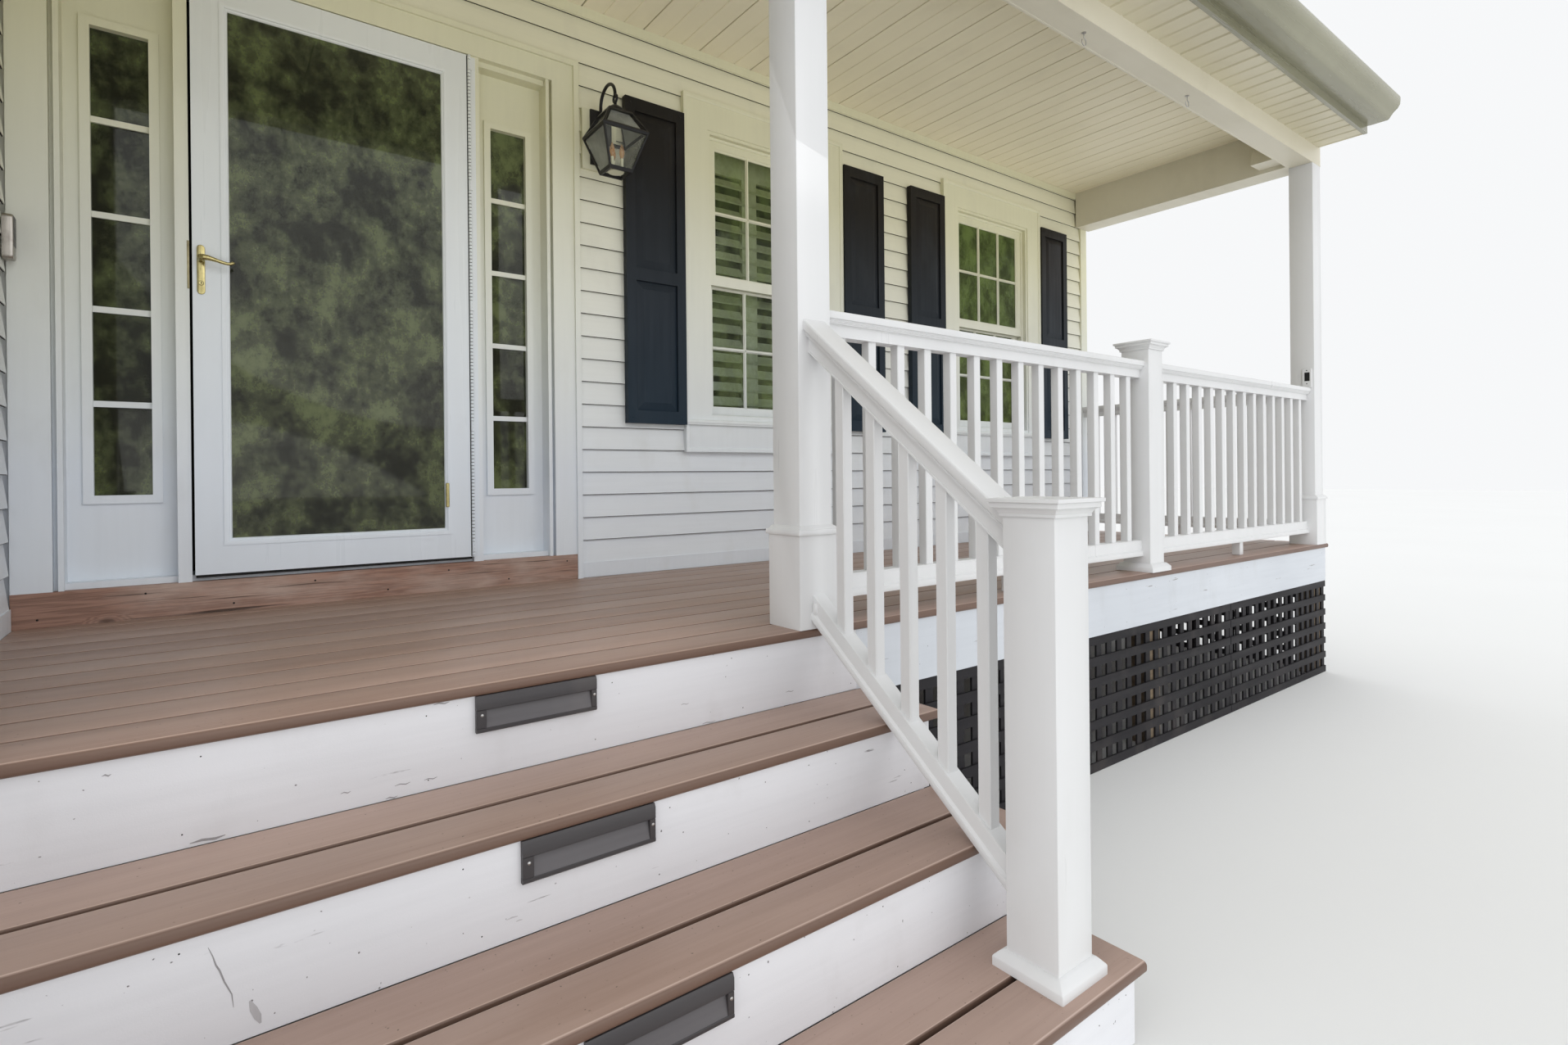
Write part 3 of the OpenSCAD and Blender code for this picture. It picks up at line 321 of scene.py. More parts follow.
# painted: base paint, slow cloudy tone, brushed grain, chips on worn paint, patches of grime, uneven gloss,
# and where asked a painted warm bounce light that grows with height
def painted(name, look):
    material, tree, shader, coords = freshMaterial(name, look["colour"], look["rough"],
                                                   look.get("shine", 0.4))
    cloud = noise(tree, coords, 1.3, detail=2)
    grain = noise(tree, coords, look["grainScale"], look["grain"], detail=4)
    grime = spread(tree, noise(tree, coords, 5.0, (1, 1, 0.5), detail=6, shift=(3, 1, 2)), 0.56, 0.78)
    fine = noise(tree, coords, 420.0, detail=2)
    tone = mixed(tree, spread(tree, cloud, 0.35, 0.68), look["colour"], look["second"])
    tone = mixed(tree, spread(tree, grain, 0.42, 0.75, 0, look["streak"]), tone,
                 darker(look["colour"], 0.72))
    # painted bounce light: the colour is multiplied towards this tint from 1.25 m to 2.75 m up, for the warm
    # light under the porch roof
    if look.get("paintedBounceTint"):
        height = node(tree, "SeparateXYZ", {"Vector": coords}).outputs[2]
        tone = mixed(tree, spread(tree, height, 1.25, 2.75, 0, 1), tone, look["paintedBounceTint"], "MULTIPLY")
    if look.get("chips"):
        chip = noise(tree, coords, 30.0, (0.22, 1, 1), detail=5, shift=(1.7, 0, 5))
        line = spread(tree, noise(tree, coords, 75.0, (0.08, 1, 1), detail=2, shift=(4, 0, 1)), 0.66, 0.69)
        chip = figure(tree, "MULTIPLY", spread(tree, chip, 0.60, 0.66), line)
        speck = spread(tree, noise(tree, coords, 95.0, detail=1, shift=(2, 6, 3)), 0.775, 0.80)
        tone = mixed(tree, figure(tree, "MAXIMUM", chip, speck), tone, look["chips"])
    tone = mixed(tree, figure(tree, "MULTIPLY", grime, look["grime"]), tone, look["dirt"])
    connect(tree, shader, colour=tone,
            rough=spread(tree, grain, 0.3, 0.7, look["rough"] - 0.07, look["rough"] + 0.08))
    height = figure(tree, "ADD", figure(tree, "MULTIPLY", grain, 0.7), figure(tree, "MULTIPLY", fine, 0.3))
    raised(tree, shader, height, look["bump"], 0.0012)
    return material


along = {"x": (0.05, 1, 1), "y": (1, 0.05, 1), "z": (1, 1, 0.05), "none": (1, 1, 1)}
looks = {
    # the warm tints below are painted bounce light that grows with height
    "siding": dict(colour=(0.775, 0.815, 0.865), second=(0.81, 0.85, 0.90), dirt=(0.44, 0.42, 0.35),
                   paintedBounceTint=(1.0, 0.92, 0.65), rough=0.5, grain=along["x"], grainScale=60, streak=0.10,
                   grime=0.20, bump=0.32),
    "trimWhite": dict(colour=(0.775, 0.805, 0.845), second=(0.812, 0.842, 0.882), dirt=(0.42, 0.40, 0.35),
                      paintedBounceTint=(0.99, 0.92, 0.70), rough=0.45, grain=along["none"], grainScale=34, streak=0.10,
                      grime=0.20, bump=0.22),
    "porchTrim": dict(colour=(0.755, 0.80, 0.86), second=(0.80, 0.85, 0.91), dirt=(0.42, 0.39, 0.32),
                      paintedBounceTint=(0.95, 0.87, 0.575), rough=0.42, grain=along["z"], grainScale=48, streak=0.08,
                      grime=0.16, bump=0.2),
    "pvcWhite": dict(colour=(0.705, 0.708, 0.712), second=(0.745, 0.748, 0.752), dirt=(0.50, 0.49, 0.46),
                     rough=0.34, grain=along["z"], grainScale=20, streak=0.05, grime=0.14, bump=0.07),
    "doorWhite": dict(colour=(0.75, 0.81, 0.885), second=(0.79, 0.85, 0.925), dirt=(0.48, 0.47, 0.43),
                      paintedBounceTint=(0.98, 0.93, 0.80), rough=0.3, grain=along["z"], grainScale=16, streak=0.04,
                      grime=0.12, bump=0.05),
    "ceilingCream": dict(colour=(0.86, 0.79, 0.585), second=(0.90, 0.83, 0.63), dirt=(0.52, 0.46, 0.35),
                         rough=0.42, grain=along["y"], grainScale=18, streak=0.06, grime=0.14, bump=0.1),
    # painted shade: beam, soffit and eaves wear darker copies of the ceiling's cream paint, for the shade
    # they lie in; the eaves darkest
    "beamCreamShaded": dict(colour=(0.66, 0.62, 0.49), second=(0.71, 0.67, 0.545), dirt=(0.42, 0.37, 0.27),
                      rough=0.42, grain=along["x"], grainScale=18, streak=0.06, grime=0.16, bump=0.1),
    "soffitCreamShaded": dict(colour=(0.60, 0.555, 0.405), second=(0.65, 0.605, 0.45), dirt=(0.36, 0.31, 0.21),
                        rough=0.42, grain=along["y"], grainScale=18, streak=0.06, grime=0.2, bump=0.1),
    "eavesMetalShaded": dict(colour=(0.215, 0.207, 0.130), second=(0.265, 0.257, 0.168), dirt=(0.17, 0.15, 0.095),
                       shine=0.9, rough=0.24, grain=along["x"], grainScale=16, streak=0.10, grime=0.30,
                       bump=0.06),
    "riserPaint": dict(colour=(0.735, 0.74, 0.77), second=(0.79, 0.795, 0.825), dirt=(0.42, 0.39, 0.37),
                       chips=(0.20, 0.19, 0.20), rough=0.46, grain=along["x"], grainScale=42, streak=0.13,
                       grime=0.22, bump=0.34),
    # painted shade: the skirt wears a darker, bluer copy of the riser paint, for the shade that falls on it
    "skirtPaintShaded": dict(colour=(0.60, 0.63, 0.675), second=(0.66, 0.69, 0.735), dirt=(0.36, 0.35, 0.33),
                       chips=(0.25, 0.24, 0.24), rough=0.46, grain=along["x"], grainScale=42, streak=0.12,
                       grime=0.2, bump=0.3),
    "navyPaint": dict(colour=(0.013, 0.029, 0.048), second=(0.018, 0.036, 0.058), dirt=(0.08, 0.095, 0.11),
                      paintedBounceTint=(1.0, 0.42, 0.22), shine=0.16, rough=0.42, grain=along["z"], grainScale=46,
                      streak=0.30, grime=0.14, bump=0.22),
    "blackMetal": dict(colour=(0.010, 0.010, 0.011), second=(0.018, 0.017, 0.016), dirt=(0.07, 0.06, 0.05),
                       shine=0.25, rough=0.38, grain=along["none"], grainScale=90, streak=0.2, grime=0.20,
                       bump=0.25),
    "stepLight": dict(colour=(0.040, 0.036, 0.039), second=(0.055, 0.050, 0.052), dirt=(0.15, 0.13, 0.12),
                      rough=0.4, grain=along["x"], grainScale=80, streak=0.2, grime=0.3, bump=0.2),
    "stepFloor": dict(colour=(0.098, 0.092, 0.098), second=(0.125, 0.118, 0.124), dirt=(0.20, 0.18, 0.17),
                      rough=0.45, grain=along["x"], grainScale=80, streak=0.15, grime=0.3, bump=0.15),
    "latticeBlack": dict(colour=(0.012, 0.011, 0.013), second=(0.024, 0.022, 0.025), dirt=(0.13, 0.11, 0.10),
                         shine=0.2, rough=0.6, grain=along["x"], grainScale=30, streak=0.25, grime=0.34,
                         bump=0.2),
    "paleScuff": dict(colour=(0.47, 0.46, 0.475), second=(0.62, 0.61, 0.63), dirt=(0.33, 0.32, 0.32),
                      rough=0.6, grain=along["z"], grainScale=90, streak=0.5, grime=0.3, bump=0.2),
    "scuffGrey": dict(colour=(0.30, 0.29, 0.30), second=(0.46, 0.45, 0.46), dirt=(0.16, 0.15, 0.14),
                      rough=0.7, grain=along["none"], grainScale=160, streak=0.5, grime=0.3, bump=0.2),
    # black rubber; the same dark finish also paints shade in lap gaps, hinge gaps, slots and keyways
    "blackRubberAndShade": dict(colour=(0.014, 0.014, 0.014), second=(0.022, 0.022, 0.022), dirt=(0.07, 0.065, 0.06),
                   shine=0.2, rough=0.7, grain=along["z"], grainScale=60, streak=0.2, grime=0.2, bump=0.1),
    # painted shade: the dark of the unlit rooms behind the openings
    "roomShade": dict(colour=(0.020, 0.022, 0.020), second=(0.032, 0.034, 0.030), dirt=(0.05, 0.05, 0.045),
                     shine=0.1, rough=0.8, grain=along["z"], grainScale=12, streak=0.3, grime=0.3,
                     bump=0.05),
}
paint = {name: painted(name, look) for name, look in looks.items()}


# composite board: long streaks of two browns, a tone per board, pale scuffs, dark specks, pressed grain, and
# a painted highlight and painted shade by the way each face turns
def deckComposite():
    # the pale colour of the rounded top edge is a painted highlight, and the dark edge colour of the upright
    # faces painted shade
    look = dict(brown=(0.375, 0.255, 0.205), dark=(0.300, 0.198, 0.156), pale=(0.465, 0.345, 0.292),
                edge=(0.135, 0.077, 0.053), paintedArrisSheen=(0.62, 0.48, 0.41), smudge=(0.085, 0.068, 0.060),
                speck=(0.06, 0.045, 0.035), rough=0.46)
    material, tree, shader, coords = freshMaterial("deckBrown", look["brown"], look["rough"])
    tone = node(tree, "Attribute", attribute_name="tone").outputs["Fac"]
    streak = noise(tree, coords, 26.0, (0.045, 1, 1), detail=6, rough=0.65)
    thread = noise(tree, coords, 150.0, (0.02, 1, 1), detail=3)
    scuff = spread(tree, noise(tree, coords, 4.2, (0.5, 1, 1), detail=5, shift=(5, 2, 0)), 0.50, 0.74)
    speck = spread(tree, noise(tree, coords, 120.0, detail=1, shift=(1, 4, 2)), 0.74, 0.80)
    colour = mixed(tree, spread(tree, streak, 0.36, 0.66), look["dark"], look["brown"])
    colour = mixed(tree, figure(tree, "MULTIPLY", tone, 0.5), colour, look["pale"])
    colour = mixed(tree, figure(tree, "MULTIPLY", scuff, 0.42), colour, look["pale"])
    colour = mixed(tree, spread(tree, thread, 0.55, 0.75, 0, 0.35), colour, look["dark"])
    colour = mixed(tree, figure(tree, "MULTIPLY", speck, 0.7), colour, look["speck"])
    smudge = noise(tree, coords, 8.5, (0.28, 1, 1), detail=7, shift=(9, 3, 6), rough=0.7)
    smudge = spread(tree, smudge, 0.665, 0.73)
    colour = mixed(tree, figure(tree, "MULTIPLY", smudge, 0.55), colour, look["smudge"])
    # a pale line where the top turns over, a painted highlight for the sheen on the rounded edge, and darker
    # wood on the upright faces, painted shade
    up = node(tree, "SeparateXYZ", {"Vector": node(tree, "NewGeometry").outputs["Normal"]}).outputs[2]
    paintedArrisSheen = figure(tree, "MULTIPLY", spread(tree, up, 0.90, 0.94), spread(tree, up, 0.975, 0.995, 1, 0))
    colour = mixed(tree, figure(tree, "MULTIPLY", paintedArrisSheen, 0.6), colour, look["paintedArrisSheen"])
    colour = mixed(tree, spread(tree, up, 0.74, 0.92, 0.92, 0.0), colour, look["edge"])
    connect(tree, shader, colour=colour, rough=spread(tree, scuff, 0, 1, 0.42, 0.58))
    raised(tree, shader, figure(tree, "ADD", figure(tree, "MULTIPLY", streak, 0.6),
                                figure(tree, "MULTIPLY", thread, 0.5)), 0.35, 0.0015)
    return material


# old pine: grey and red-brown rings bent round knots, cracks along the grain, worn pale ridges
def weatheredPine():
    look = dict(red=(0.370, 0.215, 0.160), brown=(0.250, 0.142, 0.105), grey=(0.540, 0.430, 0.375),
                knot=(0.05, 0.022, 0.014), crack=(0.035, 0.022, 0.016), rough=0.72)
    material, tree, shader, coords = freshMaterial("weatheredPine", look["red"], look["rough"])
    spots = node(tree, "Mapping", {"Vector": coords, "Scale": (1.6, 3.0, 4.2)}).outputs[0]
    knots = node(tree, "TexVoronoi", {"Vector": spots, "Scale": 1.55, "Randomness": 0.9}).outputs["Distance"]
    knot = spread(tree, knots, 0.02, 0.16, 1, 0)
    bend = figure(tree, "MULTIPLY", knot, 0.55)
    rings = figure(tree, "ADD", noise(tree, coords, 30.0, (0.05, 1, 1), detail=5), bend)
    wave = figure(tree, "SINE", figure(tree, "MULTIPLY", rings, 46.0))
    crack = spread(tree, noise(tree, coords, 90.0, (0.02, 1, 1), detail=2, shift=(2, 2, 2)), 0.62, 0.70)
    wear = spread(tree, noise(tree, coords, 7.0, (0.4, 1, 1), detail=5), 0.45, 0.70)
    colour = mixed(tree, spread(tree, wave, -1, 1), look["brown"], look["red"])
    colour = mixed(tree, figure(tree, "MULTIPLY", wear, 0.75), colour, look["grey"])
    colour = mixed(tree, spread(tree, knots, 0.03, 0.08, 0.9, 0), colour, look["knot"])
    colour = mixed(tree, figure(tree, "MULTIPLY", crack, 0.85), colour, look["crack"])
    connect(tree, shader, colour=colour, rough=spread(tree, wear, 0, 1, 0.62, 0.85))
    raised(tree, shader, figure(tree, "SUBTRACT", spread(tree, wave, -1, 1, 0, 0.5), crack), 0.5, 0.002)
    return material


# sawn lumber: fine growth lines and a few dark stains
def sawnLumber():
    look = dict(pale=(0.235, 0.175, 0.110), dark=(0.145, 0.105, 0.065), stain=(0.09, 0.075, 0.06), rough=0.8)
    material, tree, shader, coords = freshMaterial("framingWood", look["pale"], look["rough"])
    rings = noise(tree, coords, 46.0, (0.06, 1, 1), detail=5)
    stain = spread(tree, noise(tree, coords, 3.0, detail=5, shift=(7, 0, 1)), 0.52, 0.75)
    colour = mixed(tree, spread(tree, rings, 0.35, 0.65), look["pale"], look["dark"])
    colour = mixed(tree, figure(tree, "MULTIPLY", stain, 0.55), colour, look["stain"])
    connect(tree, shader, colour=colour)
    raised(tree, shader, rings, 0.4, 0.002)
    return material


# concrete: cloudy grey, pores and a damp foot
def castConcrete():
    look = dict(pale=(0.52, 0.515, 0.50), dark=(0.38, 0.375, 0.36), pore=(0.26, 0.255, 0.25),
                damp=(0.24, 0.23, 0.20), rough=0.85)
    material, tree, shader, coords = freshMaterial("concrete", look["pale"], look["rough"])
    cloud = noise(tree, coords, 2.2, detail=6)
    grit = noise(tree, coords, 160.0, detail=3)
    height = node(tree, "SeparateXYZ", {"Vector": coords}).outputs[2]
    edge = figure(tree, "ADD", height, figure(tree, "MULTIPLY", cloud, 0.25))
    damp = spread(tree, edge, 0.16, 0.34, 0.6, 0)
    colour = mixed(tree, spread(tree, cloud, 0.35, 0.7), look["pale"], look["dark"])
    colour = mixed(tree, spread(tree, grit, 0.6, 0.72, 0, 0.6), colour, look["pore"])
    colour = mixed(tree, damp, colour, look["damp"])
    connect(tree, shader, colour=colour)
    raised(tree, shader, figure(tree, "ADD", grit, figure(tree, "MULTIPLY", cloud, 0.6)), 0.5, 0.004)
    return material


# shingle: bright and black mineral granules over a tone per tab, with soft weathered patches
def mineralShingle():
    look = dict(dark=(0.085, 0.082, 0.080), pale=(0.185, 0.175, 0.165), bright=(0.30, 0.285, 0.265),
                black=(0.045, 0.045, 0.045), moss=(0.10, 0.10, 0.085), rough=0.9)
    material, tree, shader, coords = freshMaterial("shingle", look["dark"], look["rough"])
    tone = node(tree, "Attribute", attribute_name="tone").outputs["Fac"]
    grain = noise(tree, coords, 620.0, detail=1)
    patch = noise(tree, coords, 3.0, (1, 0.3, 0.3), detail=5)
    colour = mixed(tree, tone, look["dark"], look["pale"])
    colour = mixed(tree, spread(tree, grain, 0.5, 0.62), colour, look["bright"])
    colour = mixed(tree, spread(tree, grain, 0.46, 0.38), colour, look["black"])
    colour = mixed(tree, spread(tree, patch, 0.5, 0.75, 0, 0.4), colour, look["moss"])
    connect(tree, shader, colour=colour)
    raised(tree, shader, grain, 0.7, 0.0015)
    return material


# metal: brushed along an axis, tarnish in patches, roughness following the brushing
def brushedMetal(name, look):
    material, tree, shader, coords = freshMaterial(name, look["colour"], look["rough"])
    shader.inputs["Metallic"].default_value = 1.0
    brush = noise(tree, coords, 260.0, look["grain"], detail=3)
    patch = spread(tree, noise(tree, coords, 30.0, detail=5), 0.48, 0.7)
    colour = mixed(tree, figure(tree, "MULTIPLY", patch, 0.7), look["colour"], look["tarnish"])
    colour = mixed(tree, spread(tree, brush, 0.4, 0.7, 0, 0.35), colour, darker(look["colour"], 0.6))
    connect(tree, shader, colour=colour,
            rough=spread(tree, brush, 0.3, 0.7, look["rough"] - 0.08, look["rough"] + 0.12))
    raised(tree, shader, brush, 0.12, 0.0005)
    return material


# glass: a clear sheet with an opaque cover of painted reflection; the cover grows at grazing angles and in
# soft patches of a greenish tone, painted reflections of greenery
def clearGlass(name, look):
    material, tree, shader, coords = freshMaterial(name, look["tint"], 0.03)
    shader.inputs["IOR"].default_value = 1.5
    patch = noise(tree, coords, look["scale"], (1, 1, 0.8), detail=12, shift=(3, 1, 2), rough=0.74)
    cloud = noise(tree, coords, 1.1, (1, 1, 0.8), detail=3, shift=(1, 5, 2))
    both = figure(tree, "ADD", figure(tree, "MULTIPLY", patch, 0.6), figure(tree, "MULTIPLY", cloud, 0.4))
    # painted reflection: how much of the opaque cover shows, more in the greenish patches
    reflectionCover = spread(tree, both, 0.40, 0.62, look["least"], look["most"])
    clear = node(tree, "BsdfTransparent", {"Color": (*look["through"], 1)})
    amount = figure(tree, "MULTIPLY", node(tree, "Fresnel", {"IOR": 1.45}).outputs[0], look["mirror"])
    join = node(tree, "MixShader", {0: figure(tree, "ADD", amount, reflectionCover), 1: clear.outputs[0],
                                    2: shader.outputs[0]})
    tree.links.new(join.outputs[0], tree.nodes["Material Output"].inputs["Surface"])
    green = spread(tree, patch, 0.43, 0.60)
    connect(tree, shader, colour=mixed(tree, green, look["tint"], look["second"]))
    raised(tree, shader, noise(tree, coords, 3.0, detail=1), 0.1, 0.003)
    return material


metals = {
    "brass": dict(colour=(0.50, 0.435, 0.205), tarnish=(0.30, 0.25, 0.105), rough=0.24, grain=(1, 1, 0.04)),
    "oldBrass": dict(colour=(0.36, 0.32, 0.20), tarnish=(0.22, 0.18, 0.10), rough=0.5, grain=(1, 1, 0.05)),
    "bell": dict(colour=(0.46, 0.43, 0.39), tarnish=(0.30, 0.27, 0.24), rough=0.34, grain=(1, 1, 0.05)),
    "steel": dict(colour=(0.52, 0.52, 0.51), tarnish=(0.28, 0.20, 0.14), rough=0.4, grain=(1, 1, 1)),
}
# tint is the cover's colour, on the door's panes a dark painted shade of the space behind; second is the
# greenish painted reflection of foliage
glasses = {
    "doorGlass": dict(tint=(0.045, 0.047, 0.030), second=(0.150, 0.180, 0.075), through=(0.45, 0.50, 0.42),
                      scale=8.0, least=0.35, most=0.78, mirror=1.0),
    "windowGlass": dict(tint=(0.10, 0.12, 0.05), second=(0.24, 0.31, 0.10), through=(0.93, 0.96, 0.90),
                        scale=9.0, least=0.02, most=0.30, mirror=1.0),
    "lanternGlass": dict(tint=(0.50, 0.51, 0.46), second=(0.60, 0.61, 0.55), through=(0.985, 0.99, 0.98),
                         scale=20.0, least=0.0, most=0.04, mirror=0.45),
    "bulbGlass": dict(tint=(0.72, 0.42, 0.20), second=(0.85, 0.60, 0.36), through=(1.0, 0.88, 0.72),
                      scale=30.0, least=0.20, most=0.45, mirror=0.8),
}
finish = dict(paint)
finish["deckBrown"] = deckComposite()
finish["weatheredPine"] = weatheredPine()
finish["framingWood"] = sawnLumber()
finish["concrete"] = castConcrete()
finish["shingle"] = mineralShingle()
finish.update({name: brushedMetal(name, look) for name, look in metals.items()})
finish.update({name: clearGlass(name, look) for name, look in glasses.items()})
print("stage: finishes made,", len(finish))

# which solids of the frame wear which finish
cadFinish = {
    "concrete": ["foundation_wall", "wing_foundation"],
    "siding": ["front_siding", "wing_siding"],
    "trimWhite": ["floor_band", "wall_piers", "wall_infills", "wing_wall"],
    "skirtPaintShaded": ["skirt_boards"],
    "porchTrim": ["wall_trim", "corner_return", "entry_casing", "entry_frame", "sidelight_left",
                  "sidelight_right", "window_frames", "upper_sashes", "lower_sashes", "inner_shutters",
                  "lantern_block"],
    "riserPaint": ["risers", "stringers"],
    "pvcWhite": ["porch_posts", "newels", "deck_rail_left", "deck_rail_right", "end_rail", "stair_rails"],
    "doorWhite": ["door_hinge", "storm_door"],
    "doorGlass": ["sidelight_glass", "storm_glass"],
    "windowGlass": ["window_glass"],
    "lanternGlass": ["lantern_glass"],
    "weatheredPine": ["sill_board"],
    "framingWood": ["deck_frame", "deck_joists", "deck_posts"],
    "brass": ["door_plate", "door_lever"],
    "navyPaint": ["shutters_window_1", "shutters_window_2"],
    "blackMetal": ["lantern_frame"],
    "bell": ["doorbell"],
    "deckBrown": ["deck_boards", "tread_1", "tread_2", "tread_3"],
    "stepLight": ["step_lights"],
    "latticeBlack": ["lattice_left", "lattice_right", "lattice_side"],
    "ceilingCream": ["ceiling"],
    "beamCreamShaded": ["front_beam", "end_beam"],
    "soffitCreamShaded": ["soffit"],
    "eavesMetalShaded": ["fascia", "gutter", "roof_ends"],
    "shingle": ["roof"],
}
for name, members in cadFinish.items():
    for member in members:
        slots = nodes[member].material_slots
        if len(slots) == 0:
            nodes[member].data.materials.append(finish[name])
        for slot in slots:
            slot.material = finish[name]
print("stage: frame dressed")


# deck and stairs: composite boards with open gaps between them
deckLow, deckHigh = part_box("deck_boards")
deck = dict(width=136.5 * mm, gap=5.5 * mm, thick=25 * mm, edge=4.2 * mm, nose=9 * mm, reach=7.5 * mm,
            least=20 * mm)


# board: rounded outline carried along x, with its front edge rounded more where it is a nosing
def boardRun(x0, x1, y0, y1, top, nosing):
    e, n = deck["edge"], deck["nose"] if nosing else deck["edge"]
    return prism(roundedOutline(y0, y1, top - deck["thick"], top, [e, n, n, e], 4), x0, x1, "x")


boards, tones = [], []
y0 = deckLow.y
while y0 < deckHigh.y - deck["least"]:
    y1 = min(y0 + deck["width"], deckHigh.y)
    boards.append(boardRun(deckLow.x, deckHigh.x, y0, y1, deckHigh.z, not boards))
    tones.append(float(rng.uniform(0.05, 0.95)))
    y0 += deck["width"] + deck["gap"]
place("deckBoards", boards, finish["deckBrown"], "deck_brown", standsFor=["deck_boards"], smooth=35,
      tones=tones)

for step in (1, 2, 3):
    low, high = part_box(f"tread_{step}")
    pair = [boardRun(low.x, high.x, low.y, low.y + deck["width"], high.z, True),
            boardRun(low.x, high.x, high.y - deck["width"], high.y + deck["reach"], high.z, False)]
    place(f"treadBoards{step}", pair, finish["deckBrown"], "deck_brown", standsFor=[f"tread_{step}"],
          smooth=35, tones=rng.uniform(0.3, 0.95, 2).tolist())
print("stage: deck and treads")

# nail heads in two rows on each riser, and in pairs on the skirt
riser = dict(fronts=[-1525 * mm, -1808 * mm, -2091 * mm, -2374 * mm], feet=[575 * mm, 370 * mm, 165 * mm, 0],
             heads=[755 * mm, 550 * mm, 345 * mm, 140 * mm], firstX=-860 * mm, lastX=1120 * mm, across=6,
             headDrop=22 * mm, footRise=24 * mm, strayX=30 * mm, strayZ=4 * mm, proud=0.2 * mm)
skirt = dict(front=-1524.8 * mm, firstX=1230 * mm, lastX=5040 * mm, across=11, rows=[585 * mm, 725 * mm])
nail = dict(radius=1.7 * mm, rise=0.5 * mm)
nails = []
for front, foot, head in zip(riser["fronts"], riser["feet"], riser["heads"]):
    many = 2 * riser["across"]
    xs = np.tile(np.linspace(riser["firstX"], riser["lastX"], riser["across"]), 2)
    zs = np.repeat([head - riser["headDrop"], foot + riser["footRise"]], riser["across"])
    centres = np.column_stack([xs + rng.uniform(-riser["strayX"], riser["strayX"], many),
                               np.full(many, front + riser["proud"]),
                               zs + rng.uniform(-riser["strayZ"], riser["strayZ"], many)])
    nails.append(domes(centres, "-y", nail["radius"], nail["rise"]))
xs = np.repeat(np.linspace(skirt["firstX"], skirt["lastX"], skirt["across"]), 2)
centres = np.column_stack([xs, np.full(len(xs), skirt["front"]), np.tile(skirt["rows"], skirt["across"])])
nails.append(domes(centres, "-y", nail["radius"], nail["rise"]))
place("riserNails", nails, finish["blackRubberAndShade"], "black_metal", smooth=60)

# wear of the risers, in millimetres: a crack, smears, and peeled paint as (x, z, length, width)
scars = dict(first=-1525 * mm, second=-1808 * mm, proud=0.4 * mm, tip=0.25, crackWide=2.4, smearWide=11,
             crack=[[-438.6, 527.5], [-433.0, 512], [-429.5, 498], [-424.9, 487.8], [-419.0, 468],
                    [-410.0, 445.9], [-408.2, 425.1]],
             smear=[[-387.4, 426.5], [-383.0, 412], [-377.5, 398], [-374.0, 386.6]],
             peels=[[-436, 581.5, 52, 5.0], [-112, 600.5, 30, 2.2], [-58, 598.5, 26, 2.0],
                    [-215.6, 609.3, 18, 2.2], [-133, 578.3, 22, 2.6], [632, 578.5, 40, 2.6],
                    [560, 640, 24, 1.8], [-34.6, 751.7, 32, 3.4], [-573.6, 729.6, 12, 3.0],
                    [905, 612, 30, 2.0], [300, 705, 22, 1.6]],
             faint=[[16.6, 411.3, 22, 3.0], [30, 402, 12, 2.2]])


# stroke: flat band along a path, its half width times the sine from one tip to the other
def stroke(path, width, front):
    path = np.asarray(path, float) * mm
    ahead = np.gradient(path, axis=0)
    ahead /= np.linalg.norm(ahead, axis=1)[:, None]
    side = np.column_stack([-ahead[:, 1], ahead[:, 0]])
    turn = np.linspace(scars["tip"], math.pi - scars["tip"], len(path))
    taper = np.sin(turn)[:, None] * width * mm / 2
    outline = np.vstack([path + side * taper, (path - side * taper)[::-1]])
    return prism(outline, front - scars["proud"], front + scars["proud"], "y")


marks = [stroke([[x - long / 2, z], [x - long / 6, z + 1.6], [x + long / 5, z - 1.2], [x + long / 2, z + 1]],
                wide, scars["first"]) for x, z, long, wide in scars["peels"]]
marks.append(stroke(scars["crack"], scars["crackWide"], scars["second"]))
place("riserScars", marks, finish["scuffGrey"], "trim_white", smooth=0)
smears = [stroke(scars["smear"], scars["smearWide"], scars["second"])]
smears += [stroke([[x - long / 2, z], [x, z + 1], [x + long / 2, z]], wide, scars["second"])
           for x, z, long, wide in scars["faint"]]
place("riserSmears", smears, finish["paleScuff"], "trim_white", smooth=0)

# step light: a faced plate round an open slot, a sloping floor inside it, a screw at each end;
# its outlines are (out of the riser, up from the light's top)
light = dict(x0=34 * mm, x1=312 * mm, left=21 * mm, right=13 * mm, slotTop=31 * mm, slotFoot=70 * mm,
             deep=12 * mm, edge=0.8 * mm, fronts=[-1525 * mm, -1808 * mm, -2091 * mm],
             tops=[755 * mm, 550 * mm, 345 * mm], screwLeft=12 * mm, screwRight=6 * mm, screwDrop=42 * mm,
             screwRadius=3.6 * mm, screwRise=1.6 * mm,
             head=np.array([[0, 0], [-8, 0], [-12, -7], [-12, -29.5], [-10.5, -31], [0, -31]]) * mm,
             foot=np.array([[0, -70], [-10.5, -70], [-12, -71.5], [-12, -77], [-9, -80], [0, -80]]) * mm,
             floor=np.array([[0, -70], [-10, -70], [-2.5, -36], [-1.2, -30.5], [0, -30.5]]) * mm)
plates, floors, screws = [], [], []
inner0, inner1 = light["x0"] + light["left"], light["x1"] - light["right"]
